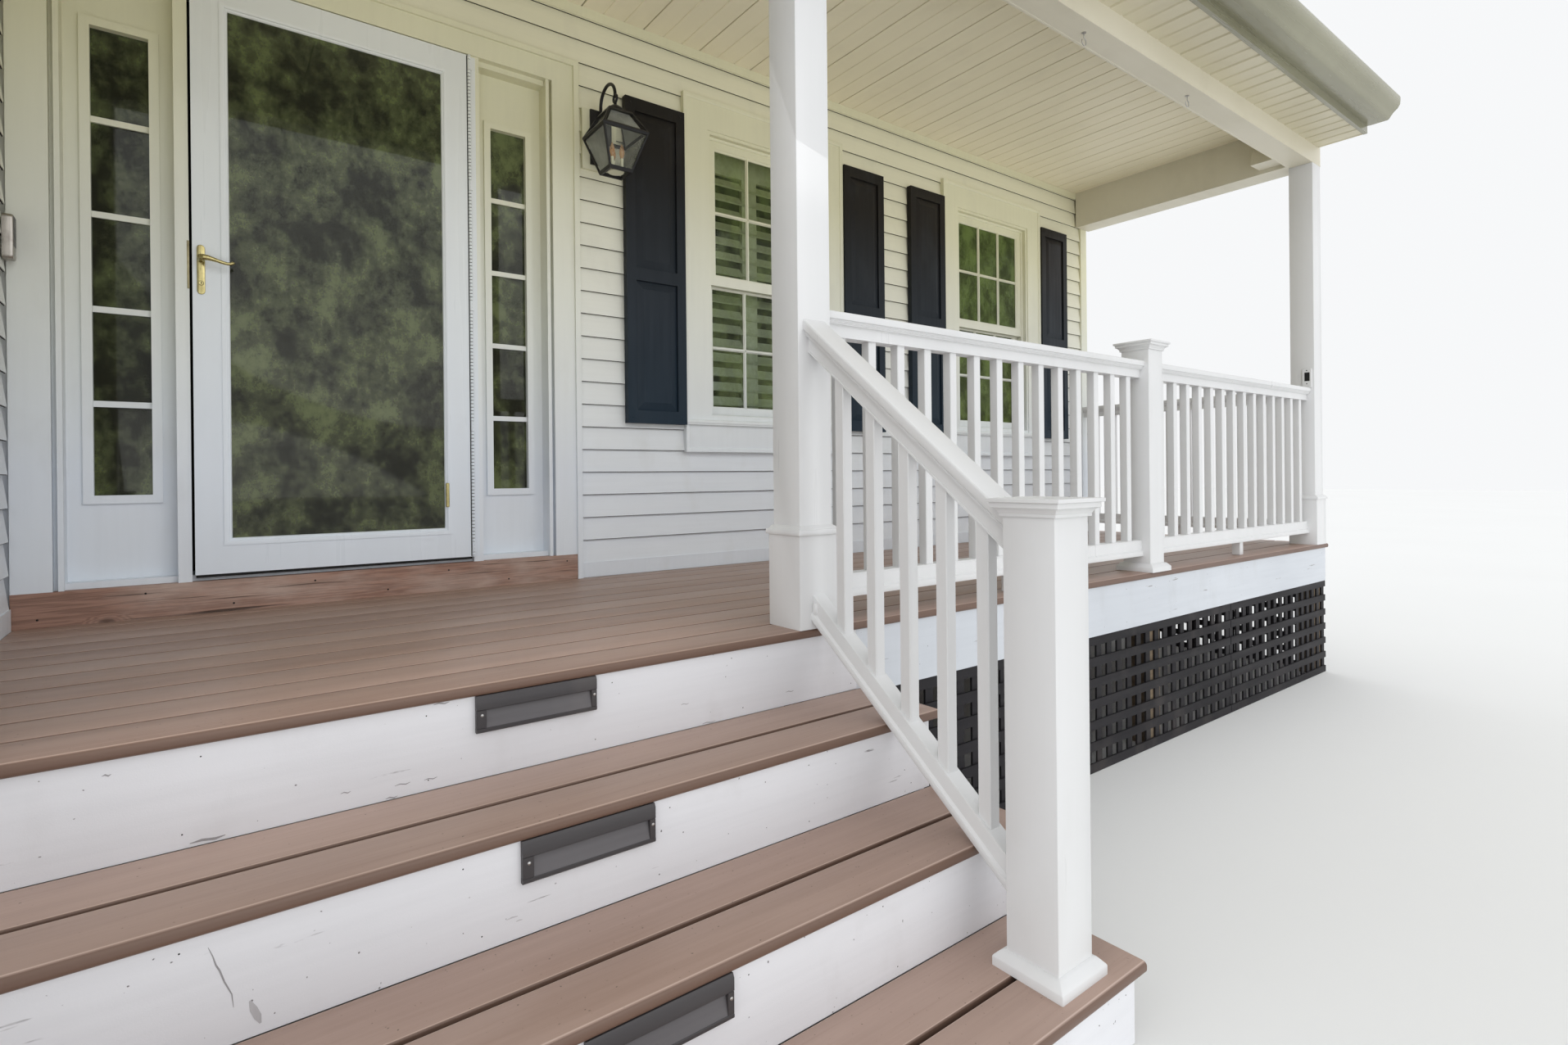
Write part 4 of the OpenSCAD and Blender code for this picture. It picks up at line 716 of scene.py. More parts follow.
for front, top in zip(light["fronts"], light["tops"]):
    outer, slotFoot, slotTop = front - light["deep"], top - light["slotFoot"], top - light["slotTop"]
    plates += [prism(light["head"] + [front, top], light["x0"], light["x1"], "x"),
               prism(light["foot"] + [front, top], light["x0"], light["x1"], "x"),
               chamferBoxes([[light["x0"], outer, slotFoot], [inner1, outer, slotFoot]],
                            [[inner0, front, slotTop], [light["x1"], front, slotTop]], light["edge"])]
    floors.append(prism(light["floor"] + [front, top], inner0, inner1, "x"))
    screws += [(light["x0"] + light["screwLeft"], outer, top - light["screwDrop"]),
               (light["x1"] - light["screwRight"], outer, top - light["screwDrop"])]
place("stepLightPlates", plates, finish["stepLight"], "step_light", standsFor=["step_lights"], smooth=30)
place("stepLightFloors", floors, finish["stepFloor"], "step_light", smooth=30)
place("stepLightScrews", [domes(screws, "-y", light["screwRadius"], light["screwRise"])], finish["steel"],
      "step_light", smooth=60)
print("stage: risers and step lights")


# railings, posts and newels: where they stand
postX = dict(left=-818 * mm, stair=1012 * mm, middle=3028 * mm, end=5012 * mm)
frontY, newelY = -1461 * mm, -2270 * mm
rail = dict(deckTop=780 * mm, height=944 * mm, foot=70 * mm, lowHigh=71 * mm, web=75 * mm, end=89 * mm,
            pitch=130 * mm, square=34 * mm, block=40 * mm, shaft=62 * mm, boxStep=11 * mm, bite=4 * mm,
            blockBite=2 * mm, edge=2.2 * mm)

# half outlines (across, drop) in millimetres: top rail with three ridges and a lipped web, bottom rail
railHalf = np.array([[0, 0], [38, 0], [41.5, 1.0], [43.4, 3.2], [44, 6], [44, 21], [43.2, 23.4], [41.5, 24],
                     [39, 24.6], [37.6, 26.2], [39, 27.8], [37.4, 29.4], [35.6, 30.8], [37, 32.4],
                     [35.2, 34], [33.2, 35.4], [33.6, 37], [24, 39], [22, 42], [22, 70], [24, 71.5],
                     [24, 75], [0, 75]])
lowHalf = np.array([[0, 0], [20, 0], [24, 1.2], [25, 4.5], [23.5, 6], [24, 8], [24, 44], [26, 47],
                    [31, 50.5], [32, 53], [32, 68], [30.5, 71], [0, 71]])


# full outline: the half and its mirror image, in metres, the drop turned to minus z and stretched by tall
def mirrored(half, tall=1.0):
    left = half[1:-1][::-1] * [-1, 1]
    return np.vstack([half, left]) * [mm, -mm * tall]


# level railing: two outlines carried between its ends, square bars at an even pitch, a foot block
def levelRailing(name, standsFor, axis, centre, start, end, shortStart, shortEnd):
    top = rail["deckTop"] + rail["height"]
    low = rail["deckTop"] + rail["foot"] + rail["lowHigh"]
    parts = [prism(mirrored(railHalf) + [centre, top], start, end, axis),
             prism(mirrored(lowHalf) + [centre, low], start + shortStart, end - shortEnd, axis)]
    count = round((end - start - 2 * rail["end"]) / rail["pitch"]) + 1
    places = np.linspace(start + rail["end"], end - rail["end"], count)
    half = rail["square"] / 2
    block = rail["block"] / 2
    middle = (start + end) / 2
    barLow = np.column_stack([places - half, np.full(count, centre - half),
                              np.full(count, low - rail["bite"])])
    barHigh = np.column_stack([places + half, np.full(count, centre + half),
                               np.full(count, top - rail["web"] + rail["bite"])])
    lows = np.vstack([barLow, [middle - block, centre - block, rail["deckTop"]]])
    highs = np.vstack([barHigh, [middle + block, centre + block,
                                 rail["deckTop"] + rail["foot"] + rail["blockBite"]]])
    if axis == "y":
        lows, highs = lows[:, [1, 0, 2]], highs[:, [1, 0, 2]]
    parts.append(chamferBoxes(lows, highs, rail["edge"]))
    place(name, parts, finish["pvcWhite"], "pvc_white", standsFor=[standsFor], smooth=32)


levelRailing("deckRailLeft", "deck_rail_left", "x", frontY, postX["stair"] + rail["shaft"],
             postX["middle"] - rail["shaft"], rail["boxStep"], 0)
levelRailing("deckRailRight", "deck_rail_right", "x", frontY, postX["middle"] + rail["shaft"],
             postX["end"] - rail["shaft"], 0, rail["boxStep"])
levelRailing("endRail", "end_rail", "y", postX["end"], frontY + rail["shaft"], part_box("end_rail")[1].y,
             rail["boxStep"], 0)

stair = dict(y0=-1523 * mm, y1=-2208 * mm, rise=205, run=283, topFall=50 * mm, lowFall=28 * mm,
             topHigh=1680 * mm, lowHigh=887 * mm, lowTall=73 / 71, count=5, pitch=119 * mm, shift=16 * mm,
             footBite=36 * mm, headBite=60 * mm)


# stair railing: the same outlines stretched upright and sheared along the flight
def stairRailing(x):
    length = stair["y0"] - stair["y1"]
    topSlope = stair["rise"] / stair["run"] + stair["topFall"] / length
    lowSlope = stair["rise"] / stair["run"] + stair["lowFall"] / length
    tall = math.sqrt(1 + topSlope ** 2)
    shortY = stair["y0"] - rail["boxStep"]
    lowStart = stair["lowHigh"] - rail["boxStep"] * lowSlope
    topOutline = mirrored(railHalf, tall) + [x, stair["topHigh"]]
    lowOutline = mirrored(lowHalf, stair["lowTall"]) + [x, lowStart]
    parts = [prism(topOutline, stair["y0"], stair["y1"], "y", topSlope),
             prism(lowOutline, shortY, stair["y1"], "y", lowSlope)]
    k = (stair["count"] - 1) / 2 - np.arange(stair["count"])
    ys = (stair["y0"] + stair["y1"]) / 2 - stair["shift"] + k * stair["pitch"]
    foot = stair["lowHigh"] - (stair["y0"] - ys) * lowSlope - stair["footBite"]
    head = stair["topHigh"] - (stair["y0"] - ys) * topSlope - stair["headBite"] * tall
    half = rail["square"] / 2
    parts.append(chamferBoxes(np.column_stack([np.full(len(ys), x - half), ys - half, foot]),
                              np.column_stack([np.full(len(ys), x + half), ys + half, head]), rail["edge"]))
    return parts


place("stairRailings", stairRailing(postX["left"]) + stairRailing(postX["stair"]), finish["pvcWhite"],
      "pvc_white", standsFor=["stair_rails"], smooth=32)

# porch post (half width, height) in millimetres: box, moulded collar and shaft
postRings = np.array([[73, 0], [73, 270], [74.5, 272], [79.2, 272.5], [80, 274], [80, 284], [78, 287.5],
                      [74, 289], [73, 291], [70, 295], [65, 298.5], [62.4, 300], [62, 302], [62, 2294.7]])
postEdge = 2.6 * mm


# one loft of rounded squares, standing on the deck
def porchPost(x):
    return squareLoft(x, frontY, postRings[:, 0] * mm, rail["deckTop"] + postRings[:, 1] * mm, postEdge)


place("porchPosts", [porchPost(postX[spot]) for spot in ("left", "stair", "end")], finish["pvcWhite"],
      "pvc_white", standsFor=["porch_posts"], smooth=30)

# newel in millimetres: skirt and sleeve from the foot up; necking, cove and flat cap from the top down
newelFoot = np.array([[84, 0], [84, 18], [82.5, 21], [76, 28], [70, 34], [66, 35.5], [62, 36.2], [62, 60]])
newelHead = np.array([[62, 39.2], [67.6, 39], [68, 38], [68, 33], [69, 32], [70.2, 29], [72.5, 25.5],
                      [76, 22.6], [80, 20.6], [81.8, 20], [82, 19], [82, 9.6], [83, 9.2], [87, 9], [88, 8],
                      [88, 1.4], [86.6, 0.2], [84, 0], [40, -0.6]])
newel = dict(edge=2.4 * mm, rim=0.8, stairFoot=165 * mm, stairHigh=1008 * mm, middleHigh=1034 * mm)


# rounded squares at the foot's and the head's heights, none past the top, the cap's rim a little lower
def newelPost(x, y, foot, high):
    rings = np.vstack([newelFoot, newelHead * [1, -1] + [0, high / mm]])
    rings[:, 1] = np.minimum(rings[:, 1], high / mm)
    rings[-2, 1] -= newel["rim"]
    return squareLoft(x, y, rings[:, 0] * mm, foot + rings[:, 1] * mm, newel["edge"])


place("newelPosts", [newelPost(postX["left"], newelY, newel["stairFoot"], newel["stairHigh"]),
                     newelPost(postX["stair"], newelY, newel["stairFoot"], newel["stairHigh"]),
                     newelPost(postX["middle"], frontY, rail["deckTop"], newel["middleHigh"])],
      finish["pvcWhite"], "pvc_white", standsFor=["newels"], smooth=30)

# covers of the rail brackets, and the open bracket plate on the end post
cover = dict(half=30 * mm, y0=-1552 * mm, y1=-1534 * mm, z0=822 * mm, z1=858 * mm, edge=5 * mm)
covers = [chamferBoxes([[x - cover["half"], cover["y0"], cover["z0"]]],
                       [[x + cover["half"], cover["y1"], cover["z1"]]], cover["edge"])
          for x in (postX["left"], postX["stair"])]
place("bracketCovers", covers, finish["pvcWhite"], "pvc_white", smooth=40)
plate = dict(low=(4.9375, -1.512, 1.724), high=(4.9515, -1.462, 1.839), edge=3 * mm,
             slotLow=(4.9362, -1.503, 1.764), slotHigh=(4.9392, -1.476, 1.816), slotEdge=1 * mm,
             screws=[(4.9374, -1.488, 1.748), (4.9374, -1.488, 1.828)], screwRadius=3.4 * mm,
             screwRise=1.6 * mm)
place("postPlate", [chamferBoxes([plate["low"]], [plate["high"]], plate["edge"])], finish["pvcWhite"],
      "pvc_white", smooth=40)
# painted shade: a dark box fills the plate's open slot, and its screws wear the same dark finish
place("postPlateSlot", [chamferBoxes([plate["slotLow"]], [plate["slotHigh"]], plate["slotEdge"]),
                        domes(plate["screws"], "-x", plate["screwRadius"], plate["screwRise"])],
      finish["blackRubberAndShade"], "black_metal", smooth=40)
print("stage: railings, posts and newels")


# ceiling and soffit: boards of an even pitch, with a joint between panels at every third groove
groove = dict(pitch=103.1 * mm, every=3, plain=0.50, joint=0.42, flat=0.45, margin=12 * mm)
ceiling = dict(start=1057 * mm, before=19, count=57, width=9 * mm, depth=3 * mm, jointDepth=9 * mm)
jointLine = dict(half=1.6 * mm, foot=6.2 * mm, top=9.5 * mm, edge=0.8 * mm, inset=1 * mm)
soffit = dict(start=50 * mm, width=24 * mm, depth=5 * mm, jointDepth=7 * mm)


# ribbed sheet: flat top; the underside rises into a groove at first + k * pitch, and the grooves
# between panels are deeper and a little narrower
def ribbedSheet(low, high, first, look):
    k = np.arange(int((high.x - first - groove["margin"]) / groove["pitch"]) + 1)
    between = k % groove["every"] == 0
    deep = np.where(between, look["jointDepth"], look["depth"])
    half = look["width"] * np.where(between, groove["joint"], groove["plain"])
    flat = half * groove["flat"]
    centre = first + k * groove["pitch"]
    x = np.stack([centre - half, centre - flat, centre + flat, centre + half], 1)
    z = np.stack([0 * deep, deep, deep, 0 * deep], 1) + low.z
    outline = np.vstack([[[low.x, low.z]], np.column_stack([x.ravel(), z.ravel()]),
                         [[high.x, low.z], [high.x, high.z], [low.x, high.z]]])
    return prism(outline, low.y, high.y, "y")


low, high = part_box("ceiling")
first = ceiling["start"] - ceiling["before"] * groove["pitch"]
place("ceilingPanels", [ribbedSheet(low, high, first, ceiling)], finish["ceilingCream"], "cream_trim",
      standsFor=["ceiling"], smooth=0)
spots = first + np.arange(0, ceiling["count"], groove["every"]) * groove["pitch"]
foot, top = low.z + jointLine["foot"], low.z + jointLine["top"]
lines = [prism(roundedOutline(x - jointLine["half"], x + jointLine["half"], foot, top, jointLine["edge"], 1),
               low.y + jointLine["inset"], high.y - jointLine["inset"], "y")
         for x in spots if low.x < x < high.x]
place("ceilingJoints", lines, finish["blackRubberAndShade"], "black_metal", smooth=0)
low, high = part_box("soffit")
place("soffitPanels", [ribbedSheet(low, high, low.x + soffit["start"], soffit)], finish["soffitCreamShaded"],
      "cream_trim", standsFor=["soffit"], smooth=0)

# beams: folded lips of their metal wrap, and the wrapped block with its band at their inner corner
frontLow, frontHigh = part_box("front_beam")
sideLow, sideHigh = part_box("end_beam")
wrap = dict(lip=2.2 * mm, wide=12 * mm, edge=0.9 * mm, sink=0.4, start=190 * mm, back=3 * mm,
            block=np.array([[4908, 3335], [4868, 3335], [4792, 3175], [4772, 3100], [4908, 3100]]) * mm,
            blockDeep=135 * mm,
            band=np.array([[4908, 3176], [4788, 3176], [4768, 3097], [4908, 3097]]) * mm,
            bandDeep=139 * mm)


# lip: rounded strip as wide as the fold, sunk below the beam's underside by a share of its height
def wrapLip(across, foot, start, end, axis):
    outline = roundedOutline(across, across + wrap["wide"], foot, foot + wrap["lip"], wrap["edge"], 1)
    return prism(outline - [0, wrap["lip"] * wrap["sink"]], start, end, axis)


wraps = [wrapLip(frontLow.y, frontLow.z, frontLow.x, frontHigh.x, "x"),
         wrapLip(frontHigh.y - wrap["wide"], frontLow.z, frontLow.x + wrap["start"], sideLow.x, "x"),
         wrapLip(sideLow.x, sideLow.z, sideLow.y, sideHigh.y, "y"),
         prism(wrap["block"], frontHigh.y - wrap["back"], frontHigh.y + wrap["blockDeep"], "y"),
         prism(wrap["band"], frontHigh.y - wrap["back"], frontHigh.y + wrap["bandDeep"], "y")]
place("beamWraps", wraps, finish["beamCreamShaded"], "cream_trim", smooth=30)

hook = dict(xs=(2570 * mm, 3491 * mm), y=-1463 * mm, bite=4 * mm, drop=22 * mm, centre=38 * mm,
            loop=16 * mm, wire=1.9 * mm, sweep=(90, -200), base=np.array([[9, -2.5], [9, 0], [5, 0.4]]) * mm)


# hook under the front beam: a shank that turns down into an open circle, and a round base
def beamHook(x, z):
    turn = np.radians(np.linspace(*hook["sweep"], 18))
    shank = np.column_stack([np.full(4, x), np.full(4, hook["y"]),
                             np.linspace(z + hook["bite"], z - hook["drop"], 4)])
    loop = np.column_stack([x + hook["loop"] * np.cos(turn), np.full(18, hook["y"]),
                            z - hook["centre"] + hook["loop"] * np.sin(turn)])
    return [tube(np.vstack([shank, loop[1:]]), hook["wire"], 8),
            lathe(hook["base"], (x, hook["y"], z), "z", 16)]


place("beamHooks", [part for x in hook["xs"] for part in beamHook(x, frontLow.z)], finish["steel"],
      "bell", smooth=50)

# gutter: folded sheet with an ogee front, rolled lip, end caps and a lapped seam; the front's points
# are shares of the width, from the back, and of the height
low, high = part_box("gutter")
gutter = dict(sheet=2.2 * mm, lap=0.8 * mm, lapStart=130 * mm, lapEnd=0.5 * mm, capPoints=12,
              line=1 * mm, lineStart=132.5 * mm, lineEnd=129.8 * mm,
              front=np.array([[0, 0], [0.10, 0], [0.62, 0], [0.66, 0.03], [0.72, 0.16], [0.80, 0.30],
                              [0.92, 0.44], [0.985, 0.60], [1.0, 0.78], [1.0, 0.94], [0.985, 1.0],
                              [0.94, 1.0], [0.93, 0.94]]))
hanger = dict(front=6 * mm, back=2 * mm, tops=(6 * mm, 10 * mm), feet=(9 * mm, 13 * mm), wide=25 * mm,
              first=300 * mm, end=100 * mm, pitch=600 * mm)
shape = gutter["front"] * [low.y - high.y, high.z - low.z] + [high.y, low.z]
shape = np.vstack([[[high.y, high.z]], shape])


# folded sheet: its line, and the same line moved square to itself by thick, inwards where that is
# negative
def gutterOutline(thick):
    step = np.gradient(shape, axis=0)
    step /= np.linalg.norm(step, axis=1)[:, None]
    other = shape + np.column_stack([step[:, 1], -step[:, 0]]) * thick
    other[0] = [high.y - abs(thick), high.z]
    return np.vstack([shape, other[::-1]])


caps = shape[:gutter["capPoints"]]
gutterParts = [prism(gutterOutline(-gutter["sheet"]), low.x, high.x, "x"),
               prism(gutterOutline(gutter["lap"])[1:-1], high.x - gutter["lapStart"],
                     high.x - gutter["lapEnd"], "x"),
               prism(caps, low.x, low.x + gutter["sheet"], "x"),
               prism(caps, high.x - gutter["sheet"], high.x, "x")]
place("gutterRun", gutterParts, finish["eavesMetalShaded"], "cream_trim", standsFor=["gutter"], smooth=35)
place("gutterSeam", [prism(gutterOutline(gutter["line"])[1:-1], high.x - gutter["lineStart"],
                           high.x - gutter["lineEnd"], "x")],
      finish["blackRubberAndShade"], "black_metal", smooth=0)
strap = np.array([[low.y + hanger["front"], high.z - hanger["tops"][0]],
                  [high.y - hanger["back"], high.z - hanger["tops"][1]],
                  [high.y - hanger["back"], high.z - hanger["feet"][1]],
                  [low.y + hanger["front"], high.z - hanger["feet"][0]]])
hangers = [prism(strap, x, x + hanger["wide"], "x")
           for x in np.arange(low.x + hanger["first"], high.x - hanger["end"], hanger["pitch"])]
place("gutterHangers", hangers, finish["steel"], "cream_trim", smooth=0)
print("stage: ceiling, beams and gutter")

# where the windows and the lantern stand
window = dict(xs=(1990 * mm, 3901 * mm), casing=522 * mm, foot=1330 * mm, head=3110 * mm)
lamp = dict(x=1030 * mm, y=-195 * mm, eave=2711 * mm, foot=2544 * mm, block=82 * mm, blockFoot=2609 * mm,
            blockHead=2879 * mm)

# painted shadow under the clapboards' lower edges: one thin dark strip per lap, cut where casings and blocks
# stand
laps = dict(pitch=101.6 * mm, high=2.2 * mm, rise=0.2 * mm, back=12.4 * mm, inset=2.4 * mm, thick=18 * mm,
            start=5 * mm, least=20 * mm, edge=0.3 * mm, beyond=100 * mm)
wallLow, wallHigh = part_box("front_siding")
entryLow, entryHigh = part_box("entry_casing")
blocks = [(wallLow.x - laps["beyond"], entryHigh.x, 0.0, entryHigh.z)]
blocks += [(x - window["casing"], x + window["casing"], window["foot"], window["head"])
           for x in window["xs"]]
blocks.append((lamp["x"] - lamp["block"], lamp["x"] + lamp["block"], lamp["blockFoot"], lamp["blockHead"]))
shadowStrips = []
for z in np.arange(wallLow.z + laps["pitch"], wallHigh.z, laps["pitch"]):
    cuts = sorted((a, b) for a, b, low, high in blocks if low < z < high)
    starts = [wallLow.x + laps["start"]] + [b for a, b in cuts]
    ends = [a for a, b in cuts] + [wallHigh.x]
    shadowStrips += [chamferBoxes([[a, -laps["thick"] + laps["inset"], z - laps["high"]]],
                          [[b, -laps["back"], z + laps["rise"]]], laps["edge"])
             for a, b in zip(starts, ends) if b - a > laps["least"]]
wingLow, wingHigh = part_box("wing_siding")
for z in np.arange(wingLow.z + laps["pitch"], wingHigh.z, laps["pitch"]):
    shadowStrips.append(chamferBoxes([[wingHigh.x - laps["thick"] + laps["back"], wingLow.y, z - laps["high"]]],
                             [[wingHigh.x - laps["inset"], wingHigh.y, z + laps["rise"]]], laps["edge"]))
place("lapShadowStrips", shadowStrips, finish["blackRubberAndShade"], "black_metal", smooth=0)

# roof: a slab under courses of tabs of uneven width, each tab a wedge lying on the one below
roofLow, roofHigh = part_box("roof")
roofing = dict(angle=18, thick=30 * mm, slab=2.2, slabTone=0.2, course=143 * mm, overlap=1.25, tab=330 * mm,
               shares=(0.45, 1.05), shift=200 * mm, rest=20 * mm, least=30 * mm, gap=1 * mm, wedge=5 * mm,
               wedges=(1.5, 2.0), sink=1 * mm, feather=2 * mm)
slope = math.tan(math.radians(roofing["angle"]))
depth = roofHigh.y - roofLow.y
slabTop = roofing["thick"] - roofing["wedge"] * roofing["slab"]
slab = prism(np.array([[roofLow.y, roofLow.z], [roofHigh.y, roofLow.z + slope * depth],
                       [roofHigh.y, roofLow.z + slope * depth + slabTop], [roofLow.y, roofLow.z + slabTop]]),
             roofLow.x, roofHigh.x, "x")
tabs, tabTones = [slab], [roofing["slabTone"]]
for row in range(int(math.ceil(depth / roofing["course"]))):
    y0 = roofLow.y + row * roofing["course"]
    y1 = min(y0 + roofing["course"] * roofing["overlap"], roofHigh.y)
    x = roofLow.x - rng.uniform(0, roofing["shift"])
    base = roofLow.z + slabTop + slope * (y0 - roofLow.y)
    far = roofLow.z + slabTop + slope * (y1 - roofLow.y)
    while x < roofHigh.x - roofing["rest"]:
        wide = roofing["tab"] * rng.uniform(*roofing["shares"])
        start = max(x, roofLow.x) + roofing["gap"]
        end = min(x + wide, roofHigh.x) - roofing["gap"]
        x += wide
        if end - start < roofing["least"]:
            continue
        thick = roofing["wedge"] * rng.uniform(*roofing["wedges"])
        tabs.append(prism(np.array([[y0, base - roofing["sink"]], [y1, far - roofing["sink"]],
                                    [y1, far + roofing["feather"]], [y0, base + thick]]), start, end, "x"))
        tabTones.append(float(rng.uniform(0.1, 0.9)))
place("roofShingles", tabs, finish["shingle"], "shingle", standsFor=["roof"], smooth=0, tones=tabTones)
print("stage: roof,", len(tabs), "tabs")


# frame of a moulded strip round a rectangle: the strip's outline (inwards, along y), in millimetres, is
# carried round four mitred sides
def mouldedFrame(x0, x1, z0, z1, outline):
    outline = np.asarray(outline, float) * mm
    rings = []
    for cx, cz, sx, sz in ((x0, z0, 1, 1), (x1, z0, -1, 1), (x1, z1, -1, -1), (x0, z1, 1, -1)):
        rings.append(np.column_stack([cx + sx * outline[:, 0], outline[:, 1], cz + sz * outline[:, 0]]))
    rings = np.array(rings)
    many = len(outline)
    i = np.arange(many)
    j = (i + 1) % many
    faces = []
    for k in range(4):
        a, b = k * many, ((k + 1) % 4) * many
        faces += np.stack([a + i, b + i, b + j, a + j], 1).tolist()
    verts = rings.reshape(-1, 3)
    following = np.roll(outline, -1, axis=0)
    area = np.sum(outline[:, 0] * following[:, 1] - following[:, 0] * outline[:, 1])
    return verts, faces if area > 0 else [f[::-1] for f in faces]


# bead: a quarter round on the side that faces the street, of the given width and depth, its back at y
def bead(y, wide, deep):
    turn = np.linspace(0, math.pi / 2, 5)
    arc = np.column_stack([wide * np.cos(turn), y - deep * np.sin(turn)])
    return np.vstack([[[0, y]], [[wide, y]], arc[:-1], [[0, y - deep]]])


# windows: bars and beads of the sashes, beads round casing and opening, a sill with a rounded front
sash = dict(half=315 * mm, spans=((2241 * mm, 2887 * mm, 18), (1575 * mm, 2193 * mm, 52)), bite=2 * mm,
            beadBack=6, beadWide=10, beadDeep=10,
            bar=np.array([[-9, 6], [-9, 3], [-5, -1], [-3.5, -5], [3.5, -5], [5, -1], [9, 3], [9, 6]]) * mm)
casing = dict(half=window["casing"], foot=1347 * mm, head=3103 * mm, back=-30, wide=20, deep=9)
opening = dict(half=363 * mm, foot=1527 * mm, head=2935 * mm, back=12, wide=12, deep=12)
sill = dict(y0=-47 * mm, y1=12 * mm, z0=1484 * mm, z1=1506 * mm, edges=[3 * mm, 8 * mm, 8 * mm, 3 * mm])
bars, beads, sills = [], [], []
for cx in window["xs"]:
    for zLow, zHigh, y in sash["spans"]:
        x0, x1 = cx - sash["half"], cx + sash["half"]
        for k in (1, 2):
            bars.append(prism(sash["bar"] + [x0 + (x1 - x0) * k / 3, y * mm], zLow - sash["bite"],
                              zHigh + sash["bite"], "z"))
        bars.append(prism(sash["bar"][:, ::-1] + [y * mm, (zLow + zHigh) / 2], x0 - sash["bite"],
                          x1 + sash["bite"], "x"))
        beads.append(mouldedFrame(x0, x1, zLow, zHigh,
                                  bead(y + sash["beadBack"], sash["beadWide"], sash["beadDeep"])))
    for edge in (casing, opening):
        beads.append(mouldedFrame(cx - edge["half"], cx + edge["half"], edge["foot"], edge["head"],
                                  bead(edge["back"], edge["wide"], edge["deep"])))
    sills.append(prism(roundedOutline(sill["y0"], sill["y1"], sill["z0"], sill["z1"], sill["edges"], 3),
                       cx - window["casing"], cx + window["casing"], "x"))
place("windowBars", bars, finish["porchTrim"], "pvc_white", smooth=30)
place("windowBeads", beads, finish["porchTrim"], "trim_white", smooth=35)
place("windowSills", sills, finish["porchTrim"], "trim_white", smooth=35)

# sash locks at the meeting rails, and dark sheets of painted shade that close the openings behind the glass,
# for the unlit rooms
lock = dict(half=30 * mm, y0=30 * mm, y1=46 * mm, z0=2217 * mm, z1=2229 * mm, edge=2 * mm, knobZ=2228 * mm,
            knob=np.array([[9, 0], [9, 4], [6, 8]]) * mm)
shadeSheet = dict(entry=(-808 * mm, 808 * mm, 888 * mm, 2955 * mm), half=384 * mm, foot=1506 * mm,
              head=2956 * mm, front=173.2 * mm, back=177.5 * mm, edge=1 * mm)
locks = []
for cx in window["xs"]:
    locks.append(chamferBoxes([[cx - lock["half"], lock["y0"], lock["z0"]]],
                              [[cx + lock["half"], lock["y1"], lock["z1"]]], lock["edge"]))
    locks.append(lathe(lock["knob"], (cx, (lock["y0"] + lock["y1"]) / 2, lock["knobZ"]), "z", 12))
place("sashLocks", locks, finish["steel"], "bell", smooth=40)
holes = [shadeSheet["entry"]]
holes += [(cx - shadeSheet["half"], cx + shadeSheet["half"], shadeSheet["foot"], shadeSheet["head"]) for cx in window["xs"]]
shadeSheets = [chamferBoxes([[x0, shadeSheet["front"], z0]], [[x1, shadeSheet["back"], z1]], shadeSheet["edge"])
           for x0, x1, z0, z1 in holes]
place("roomShadeSheets", shadeSheets, finish["roomShade"], "black_metal", smooth=0)

# shutter screws near each corner
shutter = dict(centre=681.5 * mm, across=132 * mm, front=-50 * mm, heights=(1505 * mm, 2957 * mm),
               radius=5 * mm, rise=1.8 * mm)
screws = [(cx + side * shutter["centre"] + across * shutter["across"], shutter["front"], z)
          for cx in window["xs"] for side in (-1, 1) for across in (-1, 1) for z in shutter["heights"]]
place("shutterScrews", [domes(screws, "-y", shutter["radius"], shutter["rise"])], finish["navyPaint"],
      "navy_paint", smooth=60)
print("stage: windows")

# storm door: two beads round its glass, the seal at its latch side and the sweep at its foot
leaf = "storm_door_leaf"
glassLow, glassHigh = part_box("storm_glass")
doorLow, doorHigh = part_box("storm_door")
door = dict(beads=((0, -21, 9, 11), (16 * mm, -36, 14, 3)),
            seal=(-454 * mm, -450.5 * mm, -33.5 * mm, -10 * mm), sealEdge=1.2 * mm,
            sweepHalf=452 * mm, sweepY=(-34 * mm, -10 * mm), sweepDrop=9.5 * mm, sweepRise=4 * mm,
            sweepEdge=2 * mm, catchLow=(0.351, -0.042, 1.114), catchHigh=(0.364, -0.034, 1.210),
            catchEdge=2 * mm)
beads = [mouldedFrame(glassLow.x - out, glassHigh.x + out, glassLow.z - out, glassHigh.z + out,
                      bead(back, wide, deep)) for out, back, wide, deep in door["beads"]]
place("doorBeads", beads, finish["doorWhite"], "door_white", body=leaf, smooth=35)
sweepOutline = roundedOutline(*door["sweepY"], doorLow.z - door["sweepDrop"], doorLow.z + door["sweepRise"],
                              door["sweepEdge"], 2)
place("doorSeal", [prism(roundedOutline(*door["seal"], door["sealEdge"], 1), doorLow.z, doorHigh.z, "z"),
                   prism(sweepOutline, -door["sweepHalf"], door["sweepHalf"], "x")],
      finish["blackRubberAndShade"], "black_metal", body=leaf, smooth=35)

# continuous hinge: short white sleeves round a dark core, which paints the shade seen in the gaps between
# them; those on the five knuckles are fixed and keep to the side that the leaf doesn't sweep
hinge = dict(x=457 * mm, y=-39 * mm, sleeve=6.7 * mm, core=6.2 * mm, inner=5.2 * mm, gap=2.4 * mm,
             pitch=13.9 * mm, first=20 * mm, tall=40 * mm, clear=1 * mm, knuckles=5, end=4 * mm,
             moving=(150, 300), fixed=(278, 345), lineX=(447.2 * mm, 450.8 * mm),
             lineY=(-36.6 * mm, -35 * mm), lineEnd=2 * mm, lineEdge=0.2 * mm)


